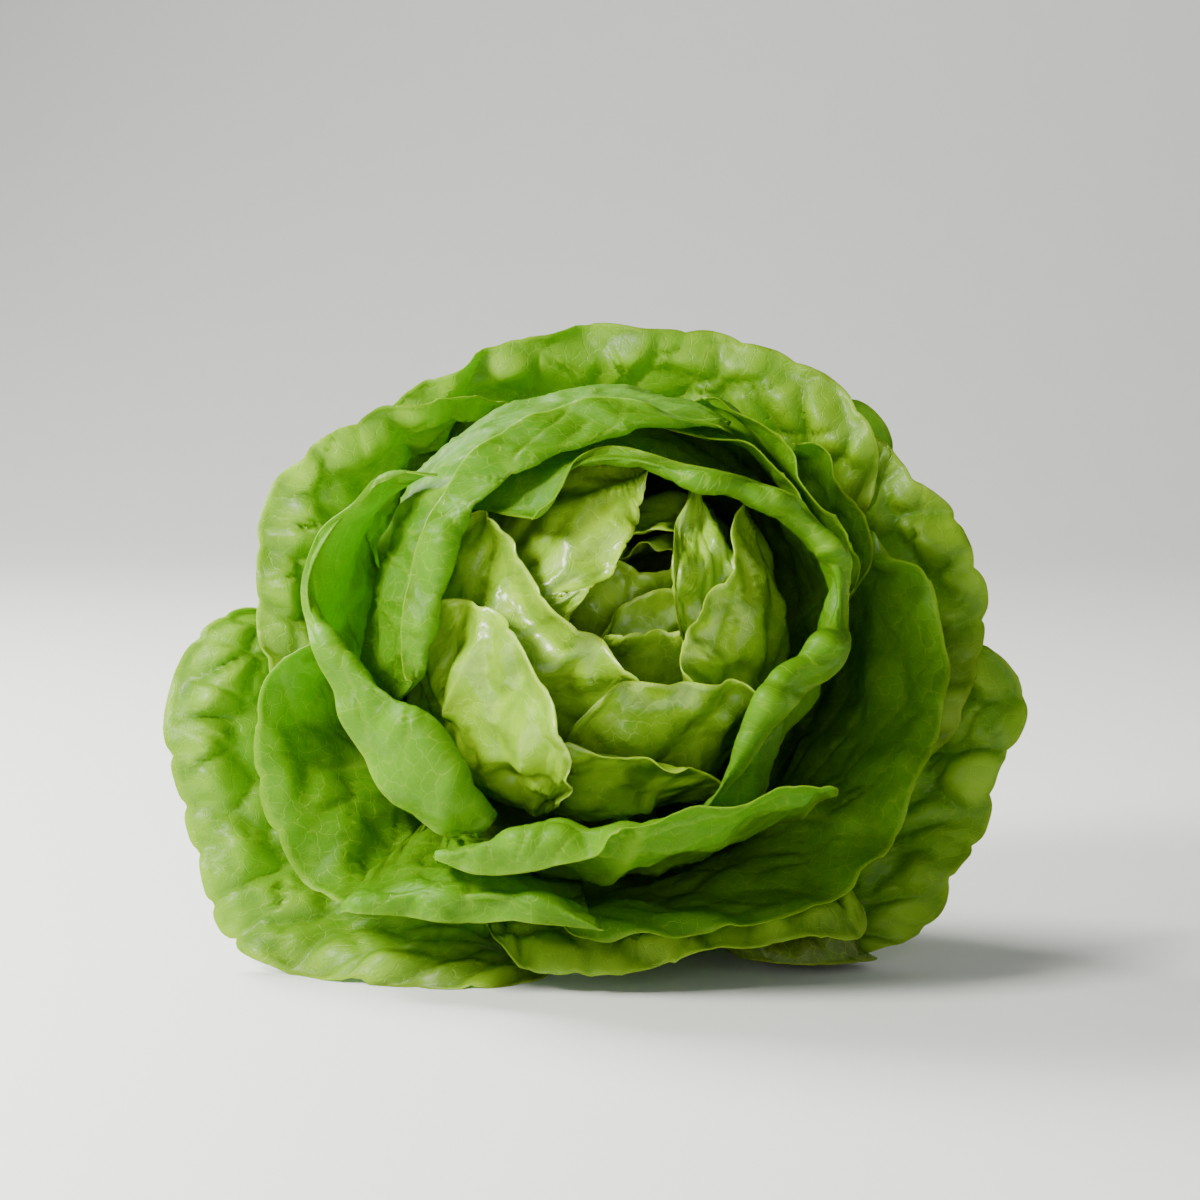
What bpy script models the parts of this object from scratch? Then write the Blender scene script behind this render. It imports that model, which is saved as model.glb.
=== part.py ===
# A head of butterhead lettuce lying on its side, heart toward the front.
# Every leaf is a thin closed blade that grips the stem at the back and wraps round the
# head. The leaves are made from the heart outward, and each one is eased outward until it
# clears the leaves inside it. Lengths are in millimetres until the meshes are made.

import math

import bpy
import numpy as np
from mathutils import Vector
from mathutils.bvhtree import BVHTree

mm = 0.001

# The head: its centre above the ground and the way its heart faces
headCentre = np.array((0.0, 0.0, 84.0))
heartWay = np.array((0.254, -0.829, 0.498))

# The front view in which the leaf margins are listed
viewDistance = 1000.0
viewRise = math.radians(7.0)
viewCentre = (0.8, 98.6)
viewTarget = 91.6

# The stem, measured back from the head's centre along the heart's axis
stemRadius = 10.5
stemProfile = (
    (14.0, 2.2),
    (17.0, 6.0),
    (22.0, 9.2),
    (27.0, stemRadius),
    (66.0, stemRadius),
    (67.5, 12.6),
    (72.0, 13.4),
    (73.0, 12.6),
)
stemSides = 28
stemTip = 1.0

# Blades: thickness at the margin, over most of the leaf, and on the rib at the stem
rimThickness = 0.8
bladeThickness = 1.1
ribThickness = 2.6
ribWidth = 0.20
ribFade = 1.3
rimTaper = 3.0
rootShare = 0.16
stemGap = 0.5

# Rows between the stem and the margin: how far along the leaf the row is, and its shares of
# the whole angle and turn and of the bulge
plainRows = ((0.28, 0.28, 0.50, 0.94), (0.55, 0.54, 0.78, 1.00), (0.79, 0.80, 0.94, 1.00))
foldedRows = ((0.26, 0.38, 0.62, 0.97), (0.48, 0.72, 0.90, 1.00))
foldPlace = 0.70
columnStep = math.radians(3.0)

# Placing a margin station on its ball
firstDepth = 0.7
depthRounds = 12

# Easing a leaf off those inside it, and smoothing it where it would cross itself
clearance = 0.45
ownClearance = 0.06
easeStep = 0.6
easeSpread = 0.85
smoothShare = 0.5
easeRounds = 240

# A leaf that carries the head spreads flat near the ground
sagHeight = 31.0
sagBlend = 18.0
sagMargin = 0.35

# Finish
creaseAngle = math.radians(50)
leafRoughness = 0.45
stemRoughness = 0.55

# The leaves from the heart outward. margin: stations (across, up[, depth]) as seen from the
# front; without a depth, the station lies on a ball of radius ball, or at edge where the ball
# is not that near. way and grip: where round the stem the leaf grips it and how wide, in
# degrees. back: how far behind the centre it grips. belly: how far out its middle bulges.
leaves = (
    dict(
        name="bud_back_leaf",
        margin=((0, 106), (5, 110), (11, 110.5), (17, 110.5), (22, 108), (26, 102)),
        ball=46, edge=-20, way=75, grip=60, back=20, ahead=17, belly=26, low=20, cells=(6, 6),
    ),
    dict(
        name="bud_front_leaf",
        margin=((27, 107), (21, 108.5), (17.5, 107), (14, 105), (11, 106.5), (6, 108.5), (1, 108.5)),
        ball=48, edge=-20, way=265, grip=60, back=22, ahead=18, belly=28.5, low=20, cells=(6, 6),
    ),
    dict(
        name="heart_leaf_small",
        margin=((0, 88), (4, 94), (10, 100), (17, 102), (25, 101), (31, 94)),
        ball=48, edge=-20, way=268, grip=70, back=24, ahead=15, belly=33, low=20, cells=(8, 7),
    ),
    dict(
        name="heart_leaf_top",
        margin=(
            (-8, 112), (0, 113), (8, 114), (14, 115), (21, 115), (28, 110), (34, 103),
        ),
        ball=53, edge=-20, way=85, grip=70, back=25.5, ahead=15, belly=36.5, low=20, cells=(8, 7),
    ),
    dict(
        name="heart_leaf_low",
        margin=((-1, 88), (6, 91.5), (15, 91.5), (23, 91), (31, 89)),
        ball=52, edge=-20, way=275, grip=70, back=27, ahead=15, belly=37.5, low=20, cells=(8, 7),
    ),
    dict(
        name="heart_leaf_pointed",
        margin=((19, 104), (19.5, 111), (20.5, 119), (24, 128), (28, 121), (32, 114), (37, 109)),
        fold=((20, 96, -46), (26, 94, -46), (32, 95, -45), (38, 99, -43)),
        ball=55, edge=-20, way=325, grip=60, back=28.5, ahead=15, belly=40, low=20, cells=(9, 7),
    ),
    dict(
        name="heart_leaf_upper_left",
        margin=((16, 129), (12, 124), (11, 117), (6, 108), (0, 100), (-8, 94)),
        ball=57, edge=-20, way=150, grip=80, back=30, ahead=15, belly=42.5, low=20, cells=(9, 8),
    ),
    dict(
        name="heart_leaf_right",
        margin=((34, 124), (35, 114), (34, 107), (28, 102), (24, 95), (23.5, 86), (24, 79), (28, 70)),
        ball=59.5, edge=-20, way=350, grip=80, back=31.5, ahead=15, belly=45, low=20, cells=(9, 8),
    ),
    dict(
        name="heart_leaf_left",
        margin=((-34, 121), (-25, 121), (-20, 112), (-18, 106), (-10, 97), (0, 90), (5, 85), (12, 79), (18, 70)),
        ball=61, edge=-20, way=190, grip=80, back=33, ahead=15, belly=47.5, low=20, cells=(9, 8),
    ),
    dict(
        name="heart_leaf_bottom",
        margin=((-2, 74), (5, 78), (12, 78.5), (25, 79), (39, 78), (47, 72)),
        ball=62.5, edge=-20, way=285, grip=80, back=34.5, ahead=14, belly=49.5, low=20, cells=(9, 8),
    ),
    dict(
        name="heart_leaf_lower",
        margin=((-18, 64), (-8, 63), (-2, 61), (8, 61), (18, 58), (30, 52), (40, 44)),
        ball=65, edge=-20, way=258, grip=80, back=36, ahead=14, belly=51.5, low=18, cells=(9, 8),
    ),
    dict(
        name="heart_leaf_bright",
        margin=(
            (-56, 72, -22), (-51, 86, -29), (-45, 96, -36), (-39, 100, -42), (-30, 98, -49), (-20, 92), (-14, 84), (-8, 76), (-3, 66), (-2, 59), (-6, 48),
        ),
        ball=67, edge=-20, way=212, grip=80, back=37.5, ahead=14, belly=54, low=18, cells=(10, 9),
    ),
    dict(
        name="wavy_leaf_right",
        margin=(
            (-15, 118, -56), (-12.5, 124, -53), (-9, 130.5, -49), (-4, 135, -46), (3, 137, -45), (11, 137, -47),
            (22, 133.5, -49), (33, 131, -49), (43, 128.5, -46), (54, 122.5, -42), (63, 112, -38), (66.5, 102, -37),
            (66, 92, -39), (64.5, 83, -42), (60, 76.5, -47), (52, 74.5, -52), (47, 67, -55), (40, 56.5, -57),
            (33, 47, -58), (26, 40, -58),
        ),
        fold=(
            (-18, 118, -46), (-16, 124, -43), (-12, 129, -41), (-6, 132.5, -39), (2, 134, -39), (12, 134, -42),
            (22, 130.5, -44), (32, 127.5, -44), (42, 124, -42), (52, 118, -38), (59.5, 108, -36), (60, 98, -38),
            (58.5, 90, -41), (56, 85, -45), (49, 82, -49), (43, 77, -52), (38.5, 69, -54), (34, 60, -54),
            (28, 50, -53), (22, 43, -52),
        ),
        ball=69, edge=-30, way=20, grip=90, back=39, ahead=8, belly=53.5, low=16, cells=(17, 11),
    ),
    dict(
        name="band_leaf_top",
        margin=(
            (8, 140, -26), (14, 140.5, -29), (20, 139.5, -33), (30, 138, -34), (38, 136, -32), (45, 131, -30),
            (51, 125, -28), (57, 116, -25),
        ),
        ball=70, edge=-24, way=75, grip=70, back=40.5, ahead=7, belly=55, low=16, cells=(8, 8),
    ),
    dict(
        name="ribbon_leaf",
        margin=(
            (36, 142.5, -34), (28, 144.5, -36), (20, 147, -38), (10, 150.5, -39), (0, 151, -40), (-10, 148, -41),
            (-17, 145, -43), (-24, 141.5, -44), (-31, 136, -46), (-37, 130, -47), (-41, 123, -49), (-45, 113, -51),
            (-48, 101, -52), (-50, 88, -52), (-51, 76, -50),
        ),
        fold=(
            (35, 140, -29), (27, 141.5, -31), (18, 142, -34), (10, 141, -37), (0, 136.5, -41), (-10, 132, -44),
            (-19, 125, -46), (-27, 120, -47), (-35, 114, -46), (-38.5, 107, -47), (-38.5, 101, -49),
            (-39, 95, -49), (-41, 88, -49), (-43, 78, -48),
        ),
        ball=74, edge=-26, way=140, grip=90, back=42, ahead=6, belly=57.5, low=16, cells=(14, 11),
    ),
    dict(
        name="rim_leaf_inner",
        margin=(
            (28, 144.5, -26), (32, 146, -25), (36, 146, -25), (42, 142.5, -26), (48, 136, -28), (54, 128, -28),
            (59, 122, -27), (65, 114, -22), (69, 104, -18),
        ),
        ball=72, edge=-18, way=42, grip=80, back=43.5, ahead=6, belly=59, low=16, cells=(9, 8),
    ),
    dict(
        name="rim_leaf_outer",
        margin=(
            (48, 138, -15), (54, 135.5, -16), (60, 132, -17), (65, 126, -17), (69, 117, -16), (72, 106, -13),
        ),
        ball=73, edge=-14, way=30, grip=80, back=45, ahead=6, belly=61, low=16, cells=(8, 8),
    ),
    dict(
        name="middle_leaf_left",
        margin=(
            (-40, 131.5, -39), (-45, 131.5, -39), (-51, 130.5, -38), (-60, 125, -37), (-70, 115, -36), (-75, 104, -36),
            (-74.5, 95, -39), (-71, 86, -44), (-67, 74, -49), (-62, 61, -52), (-54, 51, -55), (-45, 41, -56),
            (-38, 36, -53), (-31, 35, -51),
        ),
        fold=(
            (-41, 127.5, -32), (-45, 127.5, -32), (-51, 126, -32), (-58, 120.5, -31), (-66, 111, -31), (-70, 102, -32),
            (-70, 95, -34), (-67, 89.5, -38), (-60, 82, -45), (-52, 77.5, -50), (-45, 73, -54), (-38, 62, -57),
            (-31, 51, -56), (-25, 43, -54),
        ),
        ball=72, edge=-30, way=195, grip=90, back=46.5, ahead=6, belly=62, low=14, cells=(14, 11),
    ),
    dict(
        name="front_leaf",
        margin=(
            (-39, 31, -61), (-32, 28.5, -65), (-21, 28.5, -68), (-9, 31, -72), (2, 35.5, -75), (10, 41, -76),
            (18, 44, -76), (27, 46.5, -75), (36, 48, -73), (45, 49.5, -69), (54, 52.5, -64), (61, 52, -59),
        ),
        fold=(
            (-40, 36.5, -50), (-32, 41.5, -56), (-24, 44, -60), (-13.5, 44.5, -62), (-5, 42, -63), (4, 39.5, -64),
            (11, 38, -64), (20, 39.5, -63), (30, 42, -61), (40, 43.5, -58), (50, 46.5, -53), (60, 47, -47),
        ),
        ball=76, edge=-30, way=268, grip=90, back=48, ahead=5, belly=66, low=12, cells=(13, 11),
    ),
    dict(
        name="roll_leaf",
        margin=(
            (-64, 19.5, -44), (-57.5, 18, -48), (-50, 17.5, -52), (-42, 17, -55), (-33, 15.5, -58), (-21, 16.5, -61),
            (-10, 15, -62), (-2, 13, -62), (4, 13, -61),
        ),
        fold=(
            (-66, 21, -37), (-58, 25, -41), (-50, 27, -45), (-42, 28, -49), (-34, 27.5, -52), (-24, 27, -55),
            (-16, 26, -57), (-8, 23, -58), (2, 16.5, -57),
        ),
        ball=84, edge=-36, way=256, grip=64, back=49.5, ahead=3, belly=68, low=10, cells=(11, 10),
    ),
    dict(
        name="cupped_leaf_left",
        margin=(
            (-68, 90, -20), (-72, 87, -22), (-77, 84, -23), (-82, 76, -23), (-85, 67, -23), (-85, 55, -24),
            (-83, 45, -26), (-80, 38, -28), (-74, 32, -31), (-68, 26, -35), (-60, 18, -40),
        ),
        ball=80, edge=-24, way=215, grip=80, back=51, ahead=2, belly=69.5, low=9, cells=(10, 9),
    ),
    dict(
        name="big_leaf_right",
        margin=(
            (65, 119, -9), (70, 116, -10), (78, 110, -11), (84, 100, -12), (89, 88, -13),
            (91, 78, -14), (89, 67, -16), (85, 57, -19), (80, 47, -23), (75, 37, -28), (68, 29, -34),
            (60, 24, -39), (50, 19, -44), (40, 16, -48), (20, 13.5, -53), (8, 11, -55), (0, 10, -55), (-8, 8, -54),
        ),
        ball=80, edge=-20, way=325, grip=95, back=52.5, ahead=1, belly=70.5, low=7, cells=(14, 10),
    ),
    dict(
        name="outer_leaf_upper_left",
        margin=(
            (-76, 58, -2), (-83, 78, 2), (-85, 95, 5), (-85, 110, 7), (-83, 122, 8), (-79, 131, 8),
            (-74, 137, 8), (-65, 140, 7), (-60, 141, 6), (-52, 147, 5), (-42, 149, 5),
            (-33, 148, 7), (-24, 145.5, 13), (-16, 143, 20),
        ),
        ball=80, edge=-12, way=150, grip=95, back=54, ahead=0, belly=71.5, low=7, cells=(12, 10),
    ),
    dict(
        name="outer_leaf_top",
        margin=(
            (-56, 139, 20), (-48, 149, 24), (-38, 156, 28), (-28, 162, 31), (-18, 163, 33), (-10, 166, 34),
            (0, 168, 35), (7, 168.5, 35), (14, 168, 35), (27, 166, 33), (33, 164, 32), (40, 162.5, 30),
            (50, 159, 27), (60, 153, 23), (67, 148, 19), (74, 139, 15), (79, 128, 12),
        ),
        ball=84, edge=-8, way=88, grip=95, back=55.5, ahead=0, belly=73, low=7, cells=(12, 10),
    ),
    dict(
        name="outer_leaf_upper_right",
        margin=(
            (62, 145, 27), (69, 143, 23), (74, 138, 20), (79, 131, 16), (86, 126, 13), (92, 118, 10), (96, 110, 8),
            (99, 103, 6), (99, 95, 5), (98, 88, 3), (96, 80, 1), (94, 73, -1), (91, 64, -2), (87, 54, -4),
        ),
        ball=84, edge=-4, way=10, grip=95, back=57, ahead=0, belly=74, low=6, cells=(11, 10),
    ),
    dict(
        name="bottom_leaf",
        margin=(
            (-27, 9, -44), (-23, 8, -45), (-18, 6.5, -46), (-10, 4, -48), (0, 4, -50), (10, 7, -51), (20, 10, -51),
            (40, 14, -48), (50, 15, -46), (60, 14, -43), (70, 16, -38), (78, 20, -30),
        ),
        ball=84, edge=-4, way=285, grip=90, back=56.6, ahead=0, belly=75.5, low=3.0, cells=(11, 10),
    ),
    dict(
        name="under_leaf_right",
        margin=(
            (42, 3, -27), (52, 2.5, -28), (60, 5, -28), (68, 7.5, -26), (73, 6, -22), (77, 4, -16),
        ),
        ball=84, edge=10, way=300, grip=80, back=59.8, ahead=0, belly=77.5, low=2.8, cells=(8, 8),
    ),
    dict(
        name="blistered_leaf_left",
        margin=(
            (-80, 100, 14), (-87, 99, 10), (-93, 97, 6), (-99, 92, 2), (-104, 85, -3), (-107, 75, -7),
            (-110, 64, -10), (-107, 55, -12), (-103, 44, -13), (-101.5, 34, -14), (-99, 22, -16),
            (-95, 14, -19), (-89, 8, -23), (-80, 4.5, -28), (-70, 2.6, -33), (-58, 1.2, -38), (-45, 0.5, -42),
            (-30, 0.3, -44), (-20, 0.3, -43), (-10, 0.5, -40),
        ),
        ball=84, edge=-4, way=222, grip=100, back=62, ahead=0, belly=80, low=0, sag=13, cells=(14, 10),
    ),
    dict(
        name="outer_leaf_lower_right",
        margin=(
            (92, 93, 13), (98, 91, 10), (104, 84, 6), (109, 77, 2), (110, 71, 0), (107, 63, -2), (101, 56, -4),
            (100, 45, -6), (96, 35, -8), (91, 27, -10), (88, 20, -12), (80, 13, -14), (73, 8, -14), (66, 4, -12),
        ),
        ball=84, edge=-4, way=335, grip=95, back=63.3, ahead=0, belly=81, low=0, sag=17, cells=(12, 10),
    ),
    dict(
        name="back_leaf_tip",
        margin=(
            (58, 150, 34), (62, 151, 33), (66, 150, 32), (70, 147, 31), (73, 142, 30), (75, 134, 29), (74, 124, 29),
        ),
        ball=84, edge=10, way=66, grip=64, back=61.5, ahead=0, belly=78, low=6, cells=(8, 8),
    ),
)

# Colours from the heart outward, and how far back the heart and middle leaves grip the stem
heartBack = 38.0
middleBack = 53.0
heartColour = (0.42, 0.62, 0.10, 1.0)
middleColour = (0.22, 0.45, 0.04, 1.0)
outerColour = (0.16, 0.36, 0.03, 1.0)
stemColour = (0.72, 0.74, 0.48, 1.0)


def unit(vector):
    return vector / np.linalg.norm(vector)


# Axes of the head: front (out of the heart), side (to the right) and top
axisFront = unit(heartWay)
axisTop = unit(np.array((0.0, 0.0, 1.0)) - axisFront[2] * axisFront)
axisSide = np.cross(axisTop, axisFront)


def fromHead(angle, turn, radius):
    """Points at an angle from the heart's axis, a turn round it and a radius from the centre."""
    angle, turn, radius = np.broadcast_arrays(angle, turn, radius)
    forward = np.cos(angle)[..., None] * axisFront
    aside = np.sin(angle)[..., None] * (
        np.cos(turn)[..., None] * axisSide + np.sin(turn)[..., None] * axisTop
    )
    return headCentre + radius[..., None] * (forward + aside)


def toHead(points):
    """The angle, turn and radius of points."""
    offset = points - headCentre
    radius = np.linalg.norm(offset, axis=-1)
    forward = offset @ axisFront
    angle = np.arccos(np.clip(forward / radius, -1.0, 1.0))
    turn = np.arctan2(offset @ axisTop, offset @ axisSide)
    return angle, turn, radius


def seenAt(across, up, depth):
    """The point at a depth that the front view shows at a place across and up."""
    slope = (up - viewCentre[1]) / viewDistance
    rise = slope * (viewDistance + depth * math.cos(viewRise)) - depth * math.sin(viewRise)
    rise /= math.cos(viewRise) + slope * math.sin(viewRise)
    away = viewDistance + depth * math.cos(viewRise) - rise * math.sin(viewRise)
    side = viewCentre[0] + (across - viewCentre[0]) * away / viewDistance
    return np.array((side, depth, viewTarget + rise))


def placeStation(station, ball, edge):
    """A margin station in space, on its ball unless it has its own depth."""
    if len(station) == 3:
        return seenAt(*station)
    depth = -firstDepth * ball
    for _ in range(depthRounds):
        point = seenAt(station[0], station[1], depth)
        left = ball**2 - (point[0] - headCentre[0]) ** 2 - (point[2] - headCentre[2]) ** 2
        depth = min(headCentre[1] - math.sqrt(max(left, 0.0)), edge)
    return seenAt(station[0], station[1], depth)


def throughKnots(knots, rows, places):
    """A smooth run through rows of values at knots, read at places."""
    knots = np.asarray(knots, float)
    rows = np.asarray(rows, float)
    slopes = np.empty_like(rows)
    slopes[0] = (rows[1] - rows[0]) / (knots[1] - knots[0])
    slopes[-1] = (rows[-1] - rows[-2]) / (knots[-1] - knots[-2])
    for i in range(1, len(knots) - 1):
        before = (rows[i] - rows[i - 1]) / (knots[i] - knots[i - 1])
        after = (rows[i + 1] - rows[i]) / (knots[i + 1] - knots[i])
        share = (knots[i] - knots[i - 1]) / (knots[i + 1] - knots[i - 1])
        slopes[i] = (1 - share) * before + share * after
    out = []
    for place in places:
        i = int(np.clip(np.searchsorted(knots, place, side="right") - 1, 0, len(knots) - 2))
        span = knots[i + 1] - knots[i]
        t = (place - knots[i]) / span
        out.append(
            (2 * t**3 - 3 * t**2 + 1) * rows[i]
            + (t**3 - 2 * t**2 + t) * span * slopes[i]
            + (3 * t**2 - 2 * t**3) * rows[i + 1]
            + (t**3 - t**2) * span * slopes[i + 1]
        )
    return np.array(out)


def spreadAlong(stations, count):
    """Points at even steps along the smooth run through stations."""
    stations = np.array(stations)
    steps = np.linalg.norm(np.diff(stations, axis=0), axis=1)
    knots = np.concatenate(([0.0], np.cumsum(steps)))
    return throughKnots(knots, stations, np.linspace(0.0, knots[-1], count))


def bulge(leaf, angle):
    """How far the middle of a leaf stands from the head's centre at an angle from the axis."""
    ahead = leaf["ahead"]
    return ahead * np.cos(angle) + np.sqrt(leaf["belly"] ** 2 - (ahead * np.sin(angle)) ** 2)


def orderedTurns(turns):
    """Turns that keep rising from column to column between the first and the last."""
    last = len(turns) - 1
    step = min(columnStep, (turns[-1] - turns[0]) / last)
    lowest = turns[0] + step * np.arange(last + 1)
    highest = turns[-1] - step * np.arange(last, -1, -1)
    ordered = np.clip(turns, lowest, highest)
    for i in range(1, last):
        ordered[i] = max(ordered[i], ordered[i - 1] + step)
    return ordered


def leafSheet(leaf):
    """The middle sheet of a leaf: rows from the stem to the margin, columns across."""
    columns = leaf["cells"][0] + 1
    places = np.linspace(0.0, 1.0, leaf["cells"][1] + 1)
    rim = spreadAlong([placeStation(s, leaf["ball"], leaf["edge"]) for s in leaf["margin"]], columns)
    way = math.radians(leaf["way"])
    half = math.radians(leaf["grip"]) / 2

    crest = rim
    if "fold" in leaf:
        crest = spreadAlong([placeStation(s, leaf["ball"], leaf["edge"]) for s in leaf["fold"]], columns)
    crestAngle, crestTurn, _ = toHead(crest)
    crestTurn = np.unwrap(crestTurn)
    crestTurn -= 2 * math.pi * np.round((crestTurn.mean() - way) / (2 * math.pi))
    sense = 1.0 if crestTurn[-1] > crestTurn[0] else -1.0
    crestTurn = sense * orderedTurns(sense * crestTurn)
    rootTurn = way + sense * half * np.linspace(-1.0, 1.0, columns)

    rootRadius = math.hypot(stemRadius + stemGap, leaf["back"])
    rootAngle = math.pi - math.atan2(stemRadius + stemGap, leaf["back"])
    root = fromHead(rootAngle, rootTurn, rootRadius)

    rows = [root]
    knots = [0.0]
    for place, angleShare, turnShare, bulgeShare in foldedRows if "fold" in leaf else plainRows:
        angle = rootAngle + (crestAngle - rootAngle) * angleShare
        turn = rootTurn + (crestTurn - rootTurn) * turnShare
        rows.append(fromHead(angle, turn, bulge(leaf, angle) * bulgeShare))
        knots.append(place)
    if "fold" in leaf:
        rows.append(crest)
        knots.append(foldPlace)
    rows.append(rim)
    knots.append(1.0)
    sheet = throughKnots(knots, rows, places)
    near = np.clip((sagHeight - sheet[..., 2]) / sagBlend, 0.0, 1.0)
    free = np.clip((1.0 - places) / sagMargin, 0.0, 1.0)[:, None]
    sheet[..., 2] -= leaf.get("sag", 0.0) * near * free
    return sheet


def backwardAtRoot(way):
    """Directions that turn to the back of the head toward the stem."""
    height = np.linspace(0.0, 1.0, way.shape[0])[:, None, None]
    share = np.clip(height / rootShare, 0.0, 1.0)
    way = (1 - share) * -axisFront + share * way
    return way / np.linalg.norm(way, axis=-1, keepdims=True)


def outwardWay(sheet):
    """Unit directions square to the sheet, on the side away from the heart."""
    across = np.gradient(sheet, axis=1)
    along = np.gradient(sheet, axis=0)
    square = np.cross(across, along)
    length = np.linalg.norm(square, axis=-1, keepdims=True)
    square = square / np.maximum(length, 1e-9)
    if np.sum(square * (sheet - headCentre)) < 0:
        square = -square
    return backwardAtRoot(square)


def easeWay(sheet):
    """The ways in which the sheet is eased: away from the centre, leaning with the blade."""
    away = sheet - headCentre
    away = away / np.linalg.norm(away, axis=-1, keepdims=True)
    square = outwardWay(sheet)
    facing = np.clip(np.sum(away * square, axis=-1, keepdims=True), 0.0, 1.0)
    way = away + 2 * facing * square
    return backwardAtRoot(way / np.linalg.norm(way, axis=-1, keepdims=True))


def thicknessOver(sheet):
    """How thick the blade is over the sheet: thickest on its rib near the stem."""
    height = np.linspace(0.0, 1.0, sheet.shape[0])[:, None]
    side = np.linspace(-0.5, 0.5, sheet.shape[1])[None, :]
    rib = (ribThickness - bladeThickness) * (1 - height) ** ribFade * np.exp(-((side / ribWidth) ** 2))
    taper = np.minimum(1.0, rimTaper * (1 - height))
    return rimThickness + (bladeThickness - rimThickness) * taper + rib


def bladeFaces(rows, columns):
    """Triangles of a closed blade, both sides split alike."""
    count = rows * columns
    faces = []
    for r in range(rows - 1):
        for c in range(columns - 1):
            a = r * columns + c
            b, d, e = a + 1, a + columns, a + columns + 1
            faces += [(a, b, e), (a, e, d)]
            faces += [(a + count, e + count, b + count), (a + count, d + count, e + count)]
    border = [(0, c) for c in range(columns - 1)]
    border += [(r, columns - 1) for r in range(rows - 1)]
    border += [(rows - 1, c) for c in range(columns - 1, 0, -1)]
    border += [(r, 0) for r in range(rows - 1, 0, -1)]
    loop = [r * columns + c for r, c in border]
    for i, a in enumerate(loop):
        b = loop[(i + 1) % len(loop)]
        faces += [(b, a, a + count), (b, a + count, b + count)]
    return faces


def bladeCorners(sheet, low, extra=0.0):
    """Corners of both sides of the blade, kept at least low above the ground."""
    way = outwardWay(sheet)
    half = thicknessOver(sheet)[..., None] / 2 + extra
    outer = sheet + way * half
    inner = sheet - way * half
    lift = 2 * half[..., 0]
    for near, far in ((outer, inner), (inner, outer)):
        short = near[..., 2] < np.minimum(low, far[..., 2] + low)
        near[..., 2] = np.where(short, low, near[..., 2])
    flat = outer[..., 2] <= low
    inner[..., 2] = np.where(flat, np.maximum(inner[..., 2], low + lift), inner[..., 2])
    flat = inner[..., 2] <= low
    outer[..., 2] = np.where(flat, np.maximum(outer[..., 2], low + lift), outer[..., 2])
    return np.concatenate((outer.reshape(-1, 3), inner.reshape(-1, 3)))


def nearMean(values):
    """The mean of the four neighbours of each place in a grid, its own value past the border."""
    around = np.pad(values, ((1, 1), (1, 1)) + ((0, 0),) * (values.ndim - 2), mode="edge")
    return (around[:-2, 1:-1] + around[2:, 1:-1] + around[1:-1, :-2] + around[1:-1, 2:]) / 4


def placesOf(struckFaces, faces, shape):
    """The places of the sheet that belong to struck faces."""
    struck = np.zeros(shape[0] * shape[1], bool)
    for face in struckFaces:
        for corner in faces[face]:
            struck[corner % struck.size] = True
    return struck.reshape(shape)


def crossingFaces(tree, faces):
    """Faces of a blade that pass through a part of the blade that is not next to them."""
    pairs = [(a, b) for a, b in tree.overlap(tree) if a < b and not set(faces[a]) & set(faces[b])]
    return {face for pair in pairs for face in pair}


def easeOut(leaf, sheet, others):
    """Moves the sheet outward wherever its blade would meet the leaves inside it, and
    smooths it where the blade would cross itself."""
    shape = sheet.shape[:2]
    faces = bladeFaces(*shape)
    push = np.zeros(shape)
    for _ in range(easeRounds):
        eased = sheet + push[..., None] * easeWay(sheet)
        spaced = BVHTree.FromPolygons([Vector(p) for p in bladeCorners(eased, leaf["low"], clearance)], faces)
        hits = {face for face, _ in spaced.overlap(others)}
        own = BVHTree.FromPolygons([Vector(p) for p in bladeCorners(eased, leaf["low"], ownClearance)], faces)
        crossed = crossingFaces(own, faces)
        if not hits and not crossed:
            break
        push += easeStep * placesOf(hits, faces, shape)
        push = np.maximum(push, easeSpread * nearMean(push))
        tangled = placesOf(crossed, faces, shape).astype(float)
        share = smoothShare * np.maximum(tangled, smoothShare * (nearMean(tangled) > 0))
        push += share * (nearMean(push) - push)
        sheet = sheet + share[..., None] * (nearMean(sheet) - sheet)
    return eased


def makeMesh(name, corners, faces, colour, roughness):
    """A closed mesh object in metres with its own material, its faces pointing out."""
    mesh = bpy.data.meshes.new(name)
    mesh.from_pydata([tuple(p * mm) for p in corners], [], faces)
    volume = sum(
        Vector(corners[a]).dot(Vector(corners[b]).cross(Vector(corners[c]))) for a, b, c in faces
    )
    if volume < 0:
        mesh.flip_normals()
    mesh.shade_smooth()
    mesh.set_sharp_from_angle(angle=creaseAngle)
    material = bpy.data.materials.new(name)
    material.use_nodes = True
    shader = material.node_tree.nodes["Principled BSDF"]
    shader.inputs["Base Color"].default_value = colour
    shader.inputs["Roughness"].default_value = roughness
    shader.inputs["Metallic"].default_value = 0.0
    mesh.materials.append(material)
    piece = bpy.data.objects.new(name, mesh)
    bpy.context.collection.objects.link(piece)
    return piece


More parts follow.
